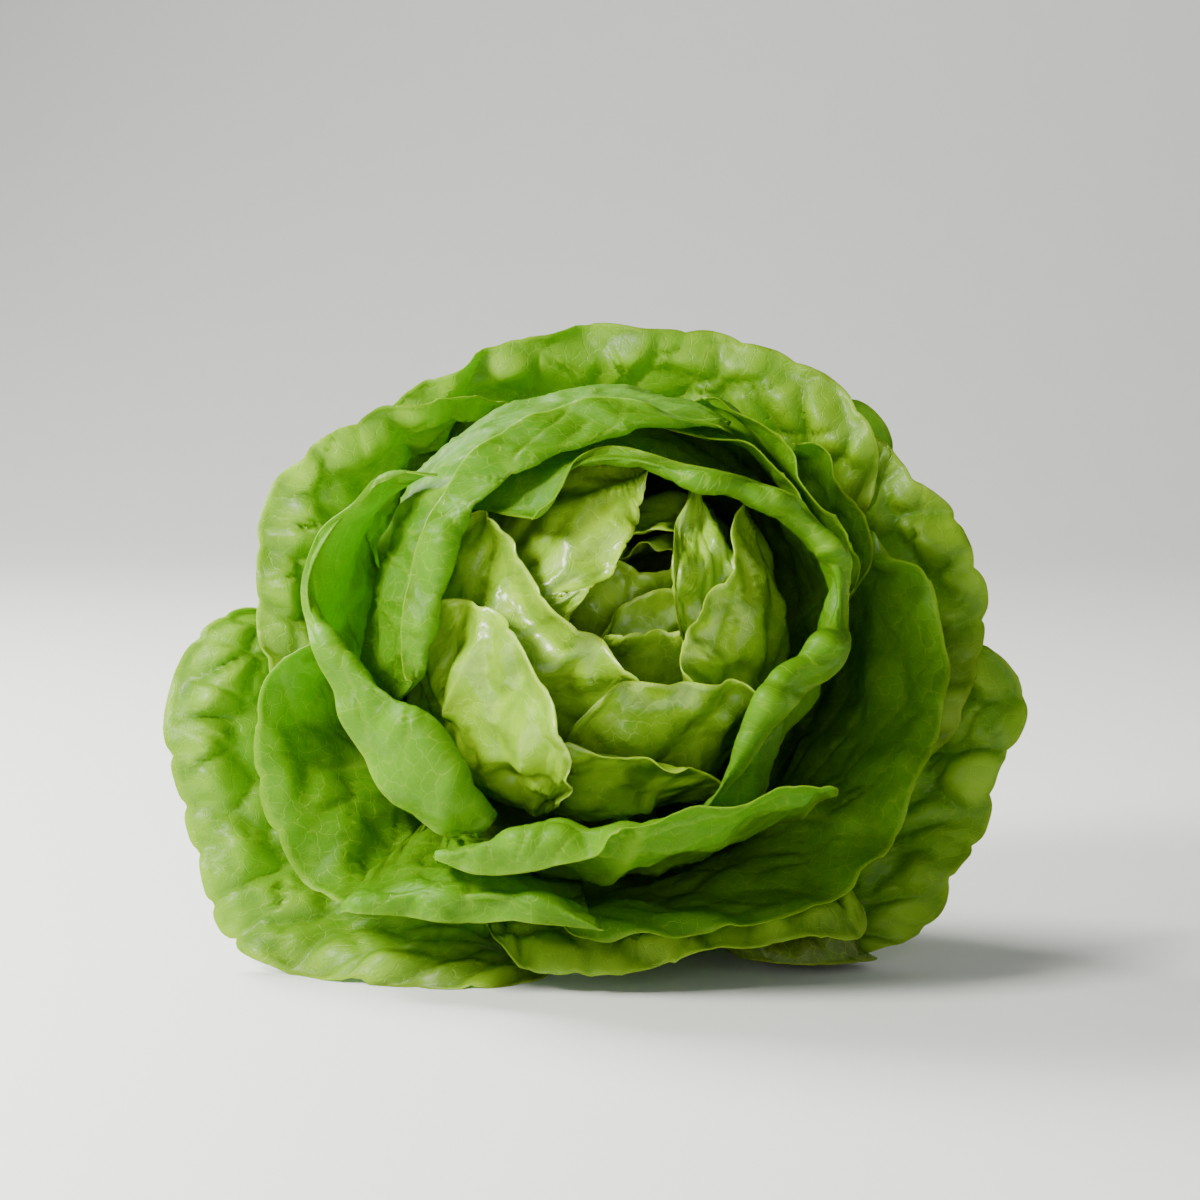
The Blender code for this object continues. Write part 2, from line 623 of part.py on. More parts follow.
def stemBody():
    """Corners and triangles of the stem, turned about the heart's axis."""
    turns = np.linspace(0.0, 2 * math.pi, stemSides, endpoint=False)
    rings = []
    for back, radius in stemProfile:
        middle = headCentre - back * axisFront
        spread = np.cos(turns)[:, None] * axisSide + np.sin(turns)[:, None] * axisTop
        rings.append(middle + radius * spread)
    corners = [p for ring in rings for p in ring]
    tip = len(corners)
    corners.append(headCentre - (stemProfile[0][0] - stemTip) * axisFront)
    butt = len(corners)
    corners.append(headCentre - stemProfile[-1][0] * axisFront)
    faces = []
    for r in range(len(rings) - 1):
        for c in range(stemSides):
            a = r * stemSides + c
            b = r * stemSides + (c + 1) % stemSides
            faces += [(a, b, b + stemSides), (a, b + stemSides, a + stemSides)]
    last = (len(rings) - 1) * stemSides
    for c in range(stemSides):
        d = (c + 1) % stemSides
        faces += [(tip, d, c), (butt, last + c, last + d)]
    return np.array(corners), faces


for old in list(bpy.data.objects):
    bpy.data.objects.remove(old, do_unlink=True)

stemCorners, stemFaces = stemBody()
bodies = [("stem", stemCorners, stemFaces, stemColour, stemRoughness)]
allCorners = [Vector(p) for p in stemCorners]
allFaces = list(stemFaces)
for leaf in leaves:
    others = BVHTree.FromPolygons(allCorners, allFaces)
    sheet = easeOut(leaf, leafSheet(leaf), others)
    corners = bladeCorners(sheet, leaf["low"])
    faces = bladeFaces(*sheet.shape[:2])
    first = len(allCorners)
    allCorners += [Vector(p) for p in corners]
    allFaces += [tuple(first + i for i in face) for face in faces]
    colour = outerColour
    if leaf["back"] <= middleBack:
        colour = middleColour
    if leaf["back"] <= heartBack:
        colour = heartColour
    bodies.append((leaf["name"], corners, faces, colour, leafRoughness))

# The origin is under the middle of the head
every = np.concatenate([corners for _, corners, _, _, _ in bodies])
middle = (every.min(axis=0) + every.max(axis=0)) / 2
shift = np.array((middle[0], middle[1], 0.0))
for name, corners, faces, colour, roughness in bodies:
    makeMesh(name, corners - shift, faces, colour, roughness)
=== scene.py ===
# A head of butterhead lettuce lying on its side on a pale floor, heart toward the front.
# Each leaf first takes the place of its plain blade in the frame, and is then grown there as
# a fine blade with its ribs, veins, blisters and rolling rim.
# Lengths are in millimetres until a mesh is made. A leaf's way and grip are in degrees, and
# other angles in radians.

import math

import bpy
import numpy as np
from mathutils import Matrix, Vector
from mathutils.bvhtree import BVHTree


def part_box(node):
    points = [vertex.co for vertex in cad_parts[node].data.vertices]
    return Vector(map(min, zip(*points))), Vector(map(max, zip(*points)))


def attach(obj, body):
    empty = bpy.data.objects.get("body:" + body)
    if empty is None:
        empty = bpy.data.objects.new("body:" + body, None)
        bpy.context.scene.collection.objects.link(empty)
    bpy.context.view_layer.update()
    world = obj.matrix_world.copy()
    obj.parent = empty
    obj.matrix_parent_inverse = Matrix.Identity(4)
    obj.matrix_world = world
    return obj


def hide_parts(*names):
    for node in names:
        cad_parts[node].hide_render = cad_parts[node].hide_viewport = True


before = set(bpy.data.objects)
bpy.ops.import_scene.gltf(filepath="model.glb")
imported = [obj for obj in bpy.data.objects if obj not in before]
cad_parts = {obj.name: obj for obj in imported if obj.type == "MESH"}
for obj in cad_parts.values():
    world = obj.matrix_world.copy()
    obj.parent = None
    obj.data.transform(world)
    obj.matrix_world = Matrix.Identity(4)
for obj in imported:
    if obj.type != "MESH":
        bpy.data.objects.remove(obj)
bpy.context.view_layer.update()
mm = 0.001

# The head: its centre above the ground, the way its heart faces, and the front view in
# which the leaf margins are listed
head = dict(
    centre=np.array((0.0, 0.0, 84.0)),
    heartWay=np.array((0.254, -0.829, 0.498)),
    viewDistance=1000.0,
    viewRise=math.radians(7.0),
    viewCentre=(0.8, 98.6),
    viewTarget=91.6,
)

# The plain blades: thickness at the margin, over most of the leaf and on the rib, the rows
# between stem and margin (place, then shares of the angle, turn and bulge), and the easing
blade = dict(
    rimThickness=0.8, thickness=1.1, ribThickness=2.6, ribWidth=0.20, ribFade=1.3, rimTaper=3.0,
    rootShare=0.16, stemGap=0.5, columnStep=math.radians(3.0),
    plainRows=((0.28, 0.28, 0.50, 0.94), (0.55, 0.54, 0.78, 1.00), (0.79, 0.80, 0.94, 1.00)),
    foldedRows=((0.26, 0.38, 0.62, 0.97), (0.48, 0.72, 0.90, 1.00)), foldPlace=0.70,
    firstDepth=0.7, depthRounds=12,
    clearance=0.45, ownClearance=0.06, easeStep=0.6, easeSpread=0.85, smoothShare=0.5, easeRounds=240,
    sagHeight=31.0, sagBlend=18.0, sagMargin=0.35,
)

# The stem, measured back from the head's centre along the heart's axis
stem = dict(
    name="stem",
    radius=10.5,
    profile=(
        (14.0, 2.2), (17.0, 6.0), (22.0, 9.2), (27.0, 10.5), (66.0, 10.5), (67.5, 12.6), (72.0, 13.4),
        (73.0, 12.6),
    ),
    tip=1.0,
    sides=28,
)

# How fine the grown leaves are, how their tips are rounded, the room for their relief, how far
# relief and shading are held back on tight folds, and how the edge, rib and marks taper
fine = dict(
    spacing=1.25, crisp=0.35, tip=0.16, tipDrop=0.14, lobeSway=0.8, lobeSwaySize=30.0,
    roomStep=3, roomRounds=2, least=0.12, most=5.0, wall=1.0,
    foldTrust=(0.0, 0.5), shadeTrust=(0.25, 0.65), trustRounds=6,
    edgeReach=4.0, ribTaper=0.8, rimReach=0.5, baseHeight=0.42, toneSize=24.0, firstSeed=3, seedStep=7,
)

# What the relief of all leaves shares, while a leaf's look says how strong each part of it is.
# A pair is where along the leaf a part comes in, from 0 at the stem to 1 at the margin.
pattern = dict(
    cellJitter=0.8, cellRise=0.8, creaseWidth=2.0,
    bend=2.5, bendSize=11.0, smallShare=0.42, flattest=0.35, thinReach=9.0, veinHold=0.85,
    body=(0.10, 0.35), ribStart=(0.0, 0.15), swayHeights=(0.15, 0.6), waveHeights=(0.3, 0.6),
    waveSwing=1.7, swingSize=30.0, rollHeights=(0.35, 0.7), rimFade=1.5, crestMix=0.75,
    hollowShadeFloor=0.4, hollowShadeFade=1.5, hollowShadeMix=0.2, sideVein=0.75,
)

# How the rib and its side veins run. sideStart is in mm from the rib, the other pairs as above.
veinRun = dict(
    ribTaper=1.2, ribLeast=0.9, ribEnd=(0.75, 1.0), wander=2.2, wanderSize=19.0, stagger=0.5,
    sideStart=(0.5, 4.0), sideHeights=(0.05, 0.2),
)


def unit(vector):
    return vector / np.linalg.norm(vector)


# Axes of the head: front (out of the heart), side (to the right) and top
axisFront = unit(head["heartWay"])
axisTop = unit(np.array((0.0, 0.0, 1.0)) - axisFront[2] * axisFront)
axisSide = np.cross(axisTop, axisFront)


def fromHead(angle, turn, radius):  # an angle from the heart's axis, a turn round it, a radius
    angle, turn, radius = np.broadcast_arrays(angle, turn, radius)
    forward = np.cos(angle)[..., None] * axisFront
    aside = np.sin(angle)[..., None] * (
        np.cos(turn)[..., None] * axisSide + np.sin(turn)[..., None] * axisTop
    )
    return head["centre"] + radius[..., None] * (forward + aside)


def toHead(points):
    offset = points - head["centre"]
    radius = np.linalg.norm(offset, axis=-1)
    angle = np.arccos(np.clip(offset @ axisFront / radius, -1.0, 1.0))
    turn = np.arctan2(offset @ axisTop, offset @ axisSide)
    return angle, turn, radius


def seenAt(across, up, depth):  # the point at a depth that the front view shows there
    distance = head["viewDistance"]
    rise = head["viewRise"]
    slope = (up - head["viewCentre"][1]) / distance
    height = slope * (distance + depth * math.cos(rise)) - depth * math.sin(rise)
    height /= math.cos(rise) + slope * math.sin(rise)
    away = distance + depth * math.cos(rise) - height * math.sin(rise)
    side = head["viewCentre"][0] + (across - head["viewCentre"][0]) * away / distance
    return np.array((side, depth, head["viewTarget"] + height))


def placeStation(station, ball, edge):  # the point of the head that a margin's station stands for
    if len(station) == 3:
        return seenAt(*station)
    depth = -blade["firstDepth"] * ball
    for _ in range(blade["depthRounds"]):
        point = seenAt(station[0], station[1], depth)
        offset = point - head["centre"]
        left = ball**2 - offset[0] ** 2 - offset[2] ** 2
        depth = min(head["centre"][1] - math.sqrt(max(left, 0.0)), edge)
    return seenAt(station[0], station[1], depth)


def throughKnots(knots, rows, places):  # a smooth run through rows of values at knots
    knots = np.asarray(knots, float)
    rows = np.asarray(rows, float)
    slopes = np.empty_like(rows)
    slopes[0] = (rows[1] - rows[0]) / (knots[1] - knots[0])
    slopes[-1] = (rows[-1] - rows[-2]) / (knots[-1] - knots[-2])
    for i in range(1, len(knots) - 1):
        before = (rows[i] - rows[i - 1]) / (knots[i] - knots[i - 1])
        after = (rows[i + 1] - rows[i]) / (knots[i + 1] - knots[i])
        share = (knots[i] - knots[i - 1]) / (knots[i + 1] - knots[i - 1])
        slopes[i] = (1 - share) * before + share * after
    out = []
    for place in places:
        i = int(np.clip(np.searchsorted(knots, place, side="right") - 1, 0, len(knots) - 2))
        span = knots[i + 1] - knots[i]
        t = (place - knots[i]) / span
        out.append(
            (2 * t**3 - 3 * t**2 + 1) * rows[i]
            + (t**3 - 2 * t**2 + t) * span * slopes[i]
            + (3 * t**2 - 2 * t**3) * rows[i + 1]
            + (t**3 - t**2) * span * slopes[i + 1]
        )
    return np.array(out)


def spreadAlong(stations, count):  # evenly spaced points on the smooth line through the stations
    stations = np.array(stations)
    steps = np.linalg.norm(np.diff(stations, axis=0), axis=1)
    knots = np.concatenate(([0.0], np.cumsum(steps)))
    return throughKnots(knots, stations, np.linspace(0.0, knots[-1], count))


def bulge(leaf, angle):  # how far from the head's centre the leaf's middle is there
    ahead = leaf["ahead"]
    return ahead * np.cos(angle) + np.sqrt(leaf["belly"] ** 2 - (ahead * np.sin(angle)) ** 2)


def orderedTurns(turns):  # turns that keep rising from the first column to the last
    last = len(turns) - 1
    step = min(blade["columnStep"], (turns[-1] - turns[0]) / last)
    lowest = turns[0] + step * np.arange(last + 1)
    highest = turns[-1] - step * np.arange(last, -1, -1)
    ordered = np.clip(turns, lowest, highest)
    for i in range(1, last):
        ordered[i] = max(ordered[i], ordered[i - 1] + step)
    return ordered


def leafSheet(leaf):  # rows from the stem to the margin, columns across
    columns = leaf["cells"][0] + 1
    places = np.linspace(0.0, 1.0, leaf["cells"][1] + 1)
    rim = spreadAlong([placeStation(s, leaf["ball"], leaf["edge"]) for s in leaf["margin"]], columns)
    way = math.radians(leaf["way"])
    half = math.radians(leaf["grip"]) / 2

    crest = rim
    if "fold" in leaf:
        crest = spreadAlong([placeStation(s, leaf["ball"], leaf["edge"]) for s in leaf["fold"]], columns)
    crestAngle, crestTurn, _ = toHead(crest)
    crestTurn = np.unwrap(crestTurn)
    crestTurn -= 2 * math.pi * np.round((crestTurn.mean() - way) / (2 * math.pi))
    sense = 1.0 if crestTurn[-1] > crestTurn[0] else -1.0
    crestTurn = sense * orderedTurns(sense * crestTurn)
    rootTurn = way + sense * half * np.linspace(-1.0, 1.0, columns)

    hold = stem["radius"] + blade["stemGap"]
    rootAngle = math.pi - math.atan2(hold, leaf["back"])
    rows = [fromHead(rootAngle, rootTurn, math.hypot(hold, leaf["back"]))]
    knots = [0.0]
    for place, angleShare, turnShare, bulgeShare in blade["foldedRows" if "fold" in leaf else "plainRows"]:
        angle = rootAngle + (crestAngle - rootAngle) * angleShare
        turn = rootTurn + (crestTurn - rootTurn) * turnShare
        rows.append(fromHead(angle, turn, bulge(leaf, angle) * bulgeShare))
        knots.append(place)
    if "fold" in leaf:
        rows.append(crest)
        knots.append(blade["foldPlace"])
    rows.append(rim)
    knots.append(1.0)
    sheet = throughKnots(knots, rows, places)
    near = np.clip((blade["sagHeight"] - sheet[..., 2]) / blade["sagBlend"], 0.0, 1.0)
    free = np.clip((1.0 - places) / blade["sagMargin"], 0.0, 1.0)[:, None]
    sheet[..., 2] -= leaf.get("sag", 0.0) * near * free  # spread flat near the ground
    return sheet


def backwardAtRoot(way):  # directions that turn to the stem's own near the stem
    height = np.linspace(0.0, 1.0, way.shape[0])[:, None, None]
    share = np.clip(height / blade["rootShare"], 0.0, 1.0)
    way = (1 - share) * -axisFront + share * way
    return way / np.linalg.norm(way, axis=-1, keepdims=True)


def squareTo(sheet, centre):  # unit directions square to a sheet, away from the centre
    square = np.cross(np.gradient(sheet, axis=1), np.gradient(sheet, axis=0))
    square = square / np.maximum(np.linalg.norm(square, axis=-1, keepdims=True), 1e-9)
    return -square if np.sum(square * (sheet - centre)) < 0 else square


def outwardWay(sheet):
    return backwardAtRoot(squareTo(sheet, head["centre"]))


def easeWay(sheet):  # which way a leaf gives when another is in its place
    away = sheet - head["centre"]
    away = away / np.linalg.norm(away, axis=-1, keepdims=True)
    square = outwardWay(sheet)
    facing = np.clip(np.sum(away * square, axis=-1, keepdims=True), 0.0, 1.0)
    way = away + 2 * facing * square
    return backwardAtRoot(way / np.linalg.norm(way, axis=-1, keepdims=True))


def thicknessOver(sheet):  # thickest on the rib near the stem, thinnest at the margin
    height = np.linspace(0.0, 1.0, sheet.shape[0])[:, None]
    side = np.linspace(-0.5, 0.5, sheet.shape[1])[None, :]
    rib = (blade["ribThickness"] - blade["thickness"]) * (1 - height) ** blade["ribFade"]
    rib = rib * np.exp(-((side / blade["ribWidth"]) ** 2))
    taper = np.minimum(1.0, blade["rimTaper"] * (1 - height))
    return blade["rimThickness"] + (blade["thickness"] - blade["rimThickness"]) * taper + rib


def bladeFaces(rows, columns):
    count = rows * columns
    faces = []
    for r in range(rows - 1):
        for c in range(columns - 1):
            a = r * columns + c
            b, d, e = a + 1, a + columns, a + columns + 1
            faces += [(a, b, e), (a, e, d)]
            faces += [(a + count, e + count, b + count), (a + count, d + count, e + count)]
    loop = borderLoop(rows, columns)
    for i, a in enumerate(loop):
        b = loop[(i + 1) % len(loop)]
        faces += [(b, a, a + count), (b, a + count, b + count)]
    return faces


def borderLoop(rows, columns):
    border = [(0, c) for c in range(columns - 1)]
    border += [(r, columns - 1) for r in range(rows - 1)]
    border += [(rows - 1, c) for c in range(columns - 1, 0, -1)]
    border += [(r, 0) for r in range(rows - 1, 0, -1)]
    return [r * columns + c for r, c in border]


def bladeCorners(sheet, low, extra=0.0):
    way = outwardWay(sheet)
    half = thicknessOver(sheet)[..., None] / 2 + extra
    outer = sheet + way * half
    inner = sheet - way * half
    lift = 2 * half[..., 0]
    for near, far in ((outer, inner), (inner, outer)):
        short = near[..., 2] < np.minimum(low, far[..., 2] + low)
        near[..., 2] = np.where(short, low, near[..., 2])
    keepApart(outer, inner, low, lift)
    return np.concatenate((outer.reshape(-1, 3), inner.reshape(-1, 3)))


def keepApart(outer, inner, low, lift):  # where one side lies flat, the other stays a thickness above
    for near, far in ((outer, inner), (inner, outer)):
        flat = near[..., 2] <= low
        far[..., 2] = np.where(flat, np.maximum(far[..., 2], low + lift), far[..., 2])


def nearMean(values):  # the mean of the four places round each
    around = np.pad(values, ((1, 1), (1, 1)) + ((0, 0),) * (values.ndim - 2), mode="edge")
    return (around[:-2, 1:-1] + around[2:, 1:-1] + around[1:-1, :-2] + around[1:-1, 2:]) / 4


def placesOf(struckFaces, faces, shape):  # the places of the sheet that some faces touch
    struck = np.zeros(shape[0] * shape[1], bool)
    for face in struckFaces:
        for corner in faces[face]:
            struck[corner % struck.size] = True
    return struck.reshape(shape)


def crossingFaces(tree, faces):
    pairs = [(a, b) for a, b in tree.overlap(tree) if a < b and not set(faces[a]) & set(faces[b])]
    return {face for pair in pairs for face in pair}


def easeOut(leaf, sheet, others):  # clear of the leaves inside it, and never through itself
    shape = sheet.shape[:2]
    faces = bladeFaces(*shape)
    push = np.zeros(shape)
    for _ in range(blade["easeRounds"]):
        eased = sheet + push[..., None] * easeWay(sheet)
        spaced = bladeCorners(eased, leaf["low"], blade["clearance"])
        hits = {face for face, _ in BVHTree.FromPolygons([Vector(p) for p in spaced], faces).overlap(others)}
        own = bladeCorners(eased, leaf["low"], blade["ownClearance"])
        crossed = crossingFaces(BVHTree.FromPolygons([Vector(p) for p in own], faces), faces)
        if not hits and not crossed:
            break
        push += blade["easeStep"] * placesOf(hits, faces, shape)
        push = np.maximum(push, blade["easeSpread"] * nearMean(push))
        tangled = placesOf(crossed, faces, shape).astype(float)
        share = blade["smoothShare"] * np.maximum(tangled, blade["smoothShare"] * (nearMean(tangled) > 0))
        push += share * (nearMean(push) - push)
        sheet = sheet + share[..., None] * (nearMean(sheet) - sheet)
    return eased


def stemRings(sides):
    turns = np.linspace(0.0, 2 * math.pi, sides, endpoint=False)
    spread = np.cos(turns)[:, None] * axisSide + np.sin(turns)[:, None] * axisTop
    return [head["centre"] - back * axisFront + radius * spread for back, radius in stem["profile"]]


def stemBody():
    sides = stem["sides"]
    rings = stemRings(sides)
    corners = [p for ring in rings for p in ring]
    tip = len(corners)
    corners.append(head["centre"] - (stem["profile"][0][0] - stem["tip"]) * axisFront)
    butt = len(corners)
    corners.append(head["centre"] - stem["profile"][-1][0] * axisFront)
    faces = []
    for r in range(len(rings) - 1):
        for c in range(sides):
            a = r * sides + c
            b = r * sides + (c + 1) % sides
            faces += [(a, b, b + sides), (a, b + sides, a + sides)]
    last = (len(rings) - 1) * sides
    for c in range(sides):
        d = (c + 1) % sides
        faces += [(tip, d, c), (butt, last + c, last + d)]
    return np.array(corners), faces


# The frame's origin is under the middle of the whole head, so the stem shows the shift to it
stemCorners, stemFaces = stemBody()
stemLow, stemHigh = (np.array(corner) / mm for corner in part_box(stem["name"]))
shift = (stemCorners.min(axis=0) + stemCorners.max(axis=0)) / 2 - (stemLow + stemHigh) / 2
placed = dict(corners=[Vector(p) for p in stemCorners], faces=list(stemFaces), leaves=[])


def placeLeaf(leaf):  # settles a leaf outside the leaves before it, as its blade in the frame is
    others = BVHTree.FromPolygons(placed["corners"], placed["faces"])
    sheet = easeOut(leaf, leafSheet(leaf), others)
    corners = bladeCorners(sheet, leaf["low"])
    first = len(placed["corners"])
    placed["corners"] += [Vector(p) for p in corners]
    placed["faces"] += [tuple(first + i for i in face) for face in bladeFaces(*sheet.shape[:2])]
    placed["leaves"].append(leaf)
    leaf["sheet"] = sheet - shift
    low, high = (np.array(corner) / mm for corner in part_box(leaf["name"]))
    lowDrift = np.abs(corners.min(axis=0) - shift - low).max()
    drift = max(lowDrift, np.abs(corners.max(axis=0) - shift - high).max())
    print(f"placed {leaf['name']}, {drift:.2f} mm from its blade in the frame")


def ramp(low, high, value):  # 0 below low, 1 above high, smooth between
    t = np.clip((value - low) / (high - low), 0.0, 1.0)
    return t * t * (3 - 2 * t)


def scatter(a, b, seed):  # an even spread of values from 0 to 1, the same each run
    value = np.sin(a * 127.1 + b * 311.7 + seed * 74.7) * 43758.5453
    return value - np.floor(value)


def swell(x, y, size, seed):  # a smooth uneven swell between -1 and 1
    x, y = x / size, y / size
    column, row = np.floor(x), np.floor(y)
    s, t = ramp(0, 1, x - column), ramp(0, 1, y - row)
    lower = (1 - s) * scatter(column, row, seed) + s * scatter(column + 1, row, seed)
    upper = (1 - s) * scatter(column, row + 1, seed) + s * scatter(column + 1, row + 1, seed)
    return 2 * ((1 - t) * lower + t * upper) - 1


def pillows(x, y, size, seed):  # rounded cells, a value for each cell, and the crease between them
    x, y = x / size, y / size
    column, row = np.floor(x), np.floor(y)
    first = np.full(x.shape, np.inf)
    second = first
    value = np.zeros(x.shape)
    for i in (-1, 0, 1):
        for j in (-1, 0, 1):
            a, b = column + i, row + j
            aside = a + 0.5 + pattern["cellJitter"] * (scatter(a, b, seed) - 0.5) - x
            above = b + 0.5 + pattern["cellJitter"] * (scatter(a, b, seed + 1) - 0.5) - y
            away = np.hypot(aside, above)
            nearer = away < first
            second = np.where(nearer, first, np.minimum(second, away))
            value = np.where(nearer, scatter(a, b, seed + 2), value)
            first = np.where(nearer, away, first)
    gap = second - first
    puff = 1 - (1 - np.clip(gap / pattern["cellRise"], 0.0, 1.0)) ** 2
    return puff, value, np.exp(-((gap * size / pattern["creaseWidth"]) ** 2))


def runWeights(places, count, crisp):  # weights of a smooth run through evenly spaced rows
    x = np.clip(places, 0.0, 1.0) * (count - 1)
    i = np.minimum(x.astype(int), count - 2)
    t = (x - i)[:, None]
    soft = np.hstack(((1 - t) ** 3, 3 * t**3 - 6 * t**2 + 4, -3 * t**3 + 3 * t**2 + 3 * t + 1, t**3)) / 6
    sharp = np.hstack((-t**3 + 2 * t**2 - t, 3 * t**3 - 5 * t**2 + 2, -3 * t**3 + 4 * t**2 + t, t**3 - t**2))
    four = (1 - crisp) * soft + crisp * sharp / 2
    weights = np.zeros((len(places), count + 2))
    for k in range(4):
        weights[np.arange(len(places)), i + k] += four[:, k]
    inner = weights[:, 1:-1].copy()
    inner[:, 0] += 2 * weights[:, 0]
    inner[:, 1] -= weights[:, 0]
    inner[:, -1] += 2 * weights[:, -1]
    inner[:, -2] -= weights[:, -1]
    return inner


def fineGrid(leaf, sheet):  # the sheet in fine rows and columns, its tips rounded and its margin lobed
    look = leaf["look"]
    rows, columns = sheet.shape[:2]
    width = np.linalg.norm(np.diff(sheet, axis=1), axis=-1).sum(axis=1).max()
    height = np.linalg.norm(np.diff(sheet, axis=0), axis=-1).sum(axis=0).mean()
    across = np.linspace(0.0, 1.0, int(width / fine["spacing"]) + 2)
    along = np.linspace(0.0, 1.0, int(height / fine["spacing"]) + 2)
    corner = np.clip(1 - np.minimum(across, 1 - across) / fine["tip"], 0, 1)
    top = 1 - fine["tipDrop"] * (1 - np.sqrt(1 - corner**2))
    seed = len(leaf["name"])
    lobes = across * width / look["lobe"]
    lobes += fine["lobeSway"] * swell(across * width, across, fine["lobeSwaySize"], seed)
    top *= 1 - look["notch"] / height * (1 - np.abs(np.sin(math.pi * lobes))) ** 2
    run = np.einsum("rcx,uc->rux", sheet, runWeights(across, columns, fine["crisp"]))
    grid = np.empty((len(along), len(across), 3))
    for j in range(len(across)):
        grid[:, j] = runWeights(along * top[j], rows, fine["crisp"]) @ run[:, j]
    return grid, along


def grainPlaces(grid):  # how far each place is from the leaf's middle line, its stem and its margin
    steps = np.linalg.norm(np.diff(grid, axis=1), axis=-1)
    x = np.concatenate((np.zeros((grid.shape[0], 1)), np.cumsum(steps, axis=1)), axis=1)
    left, right = x.copy(), x[:, -1:] - x
    x = x - x[:, grid.shape[1] // 2][:, None]
    steps = np.linalg.norm(np.diff(grid, axis=0), axis=-1)
    y = np.concatenate((np.zeros((1, grid.shape[1])), np.cumsum(steps, axis=0)), axis=0)
    return x, y, np.minimum(np.minimum(left, right), y[-1:] - y)


def roomBeside(leaf, grid):  # how far the leaf can swell inward and outward before it meets another
    others = BVHTree.FromPolygons(*othersOf(leaf))
    step = fine["roomStep"]
    rows = list(range(0, grid.shape[0], step))
    columns = list(range(0, grid.shape[1], step))
    way = squareTo(grid, head["centre"] - shift)
    rooms = []
    for sense in (-1.0, 1.0):
        room = np.full((len(rows), len(columns)), 2 * fine["most"])
        for i, r in enumerate(rows):
            for j, c in enumerate(columns):
                line = Vector(grid[r, c]), Vector(sense * way[r, c]), 2 * fine["most"]
                _, _, _, distance = others.ray_cast(*line)
                if distance is not None:
                    room[i, j] = distance
        around = np.pad(room, 1, mode="edge")
        for i in range(3):  # the least room of each place and the eight round it
            for j in range(3):
                room = np.minimum(room, around[i : i + len(rows), j : j + len(columns)])
        for _ in range(fine["roomRounds"]):
            room = nearMean(room)
        acrossRun = runWeights(np.linspace(0, 1, grid.shape[1]), len(columns), 0.0)
        alongRun = runWeights(np.linspace(0, 1, grid.shape[0]), len(rows), 0.0)
        room = alongRun @ room @ acrossRun.T
        rooms.append(np.clip((room - fine["wall"]) / 2, fine["least"], fine["most"]))
    return rooms


def othersOf(leaf):  # the frame's nodes apart from the leaf's own, in mm
    corners, faces = [], []
    for name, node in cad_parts.items():
        if name != leaf["name"]:
            first = len(corners)
            corners += [vertex.co / mm for vertex in node.data.vertices]
            faces += [tuple(first + i for i in polygon.vertices) for polygon in node.data.polygons]
    return corners, faces


def veinField(look, x, y, v, seed):  # the rib in the middle and the side veins that branch from it
    x = x - look["ribBend"] * np.sin(math.pi * v)
    wide = look["ribWidth"] * (1 - v) ** veinRun["ribTaper"] + veinRun["ribLeast"]
    rib = np.exp(-((x / wide) ** 2)) * (1 - ramp(*veinRun["ribEnd"], v))
    away = np.abs(x)
    rise = y - look["veinLean"] * away - look["veinArch"] * away**2
    rise = rise + veinRun["wander"] * swell(x, y, veinRun["wanderSize"], seed + 5)
    rise = rise + np.where(x < 0, veinRun["stagger"] * look["veinGap"], 0.0)
    nearest = np.abs(rise / look["veinGap"] - np.round(rise / look["veinGap"])) * look["veinGap"]
    side = np.exp(-((nearest / look["veinWidth"]) ** 2)) * np.exp(-away / look["veinReach"])
    return rib, side * ramp(*veinRun["sideStart"], away) * ramp(*veinRun["sideHeights"], v)


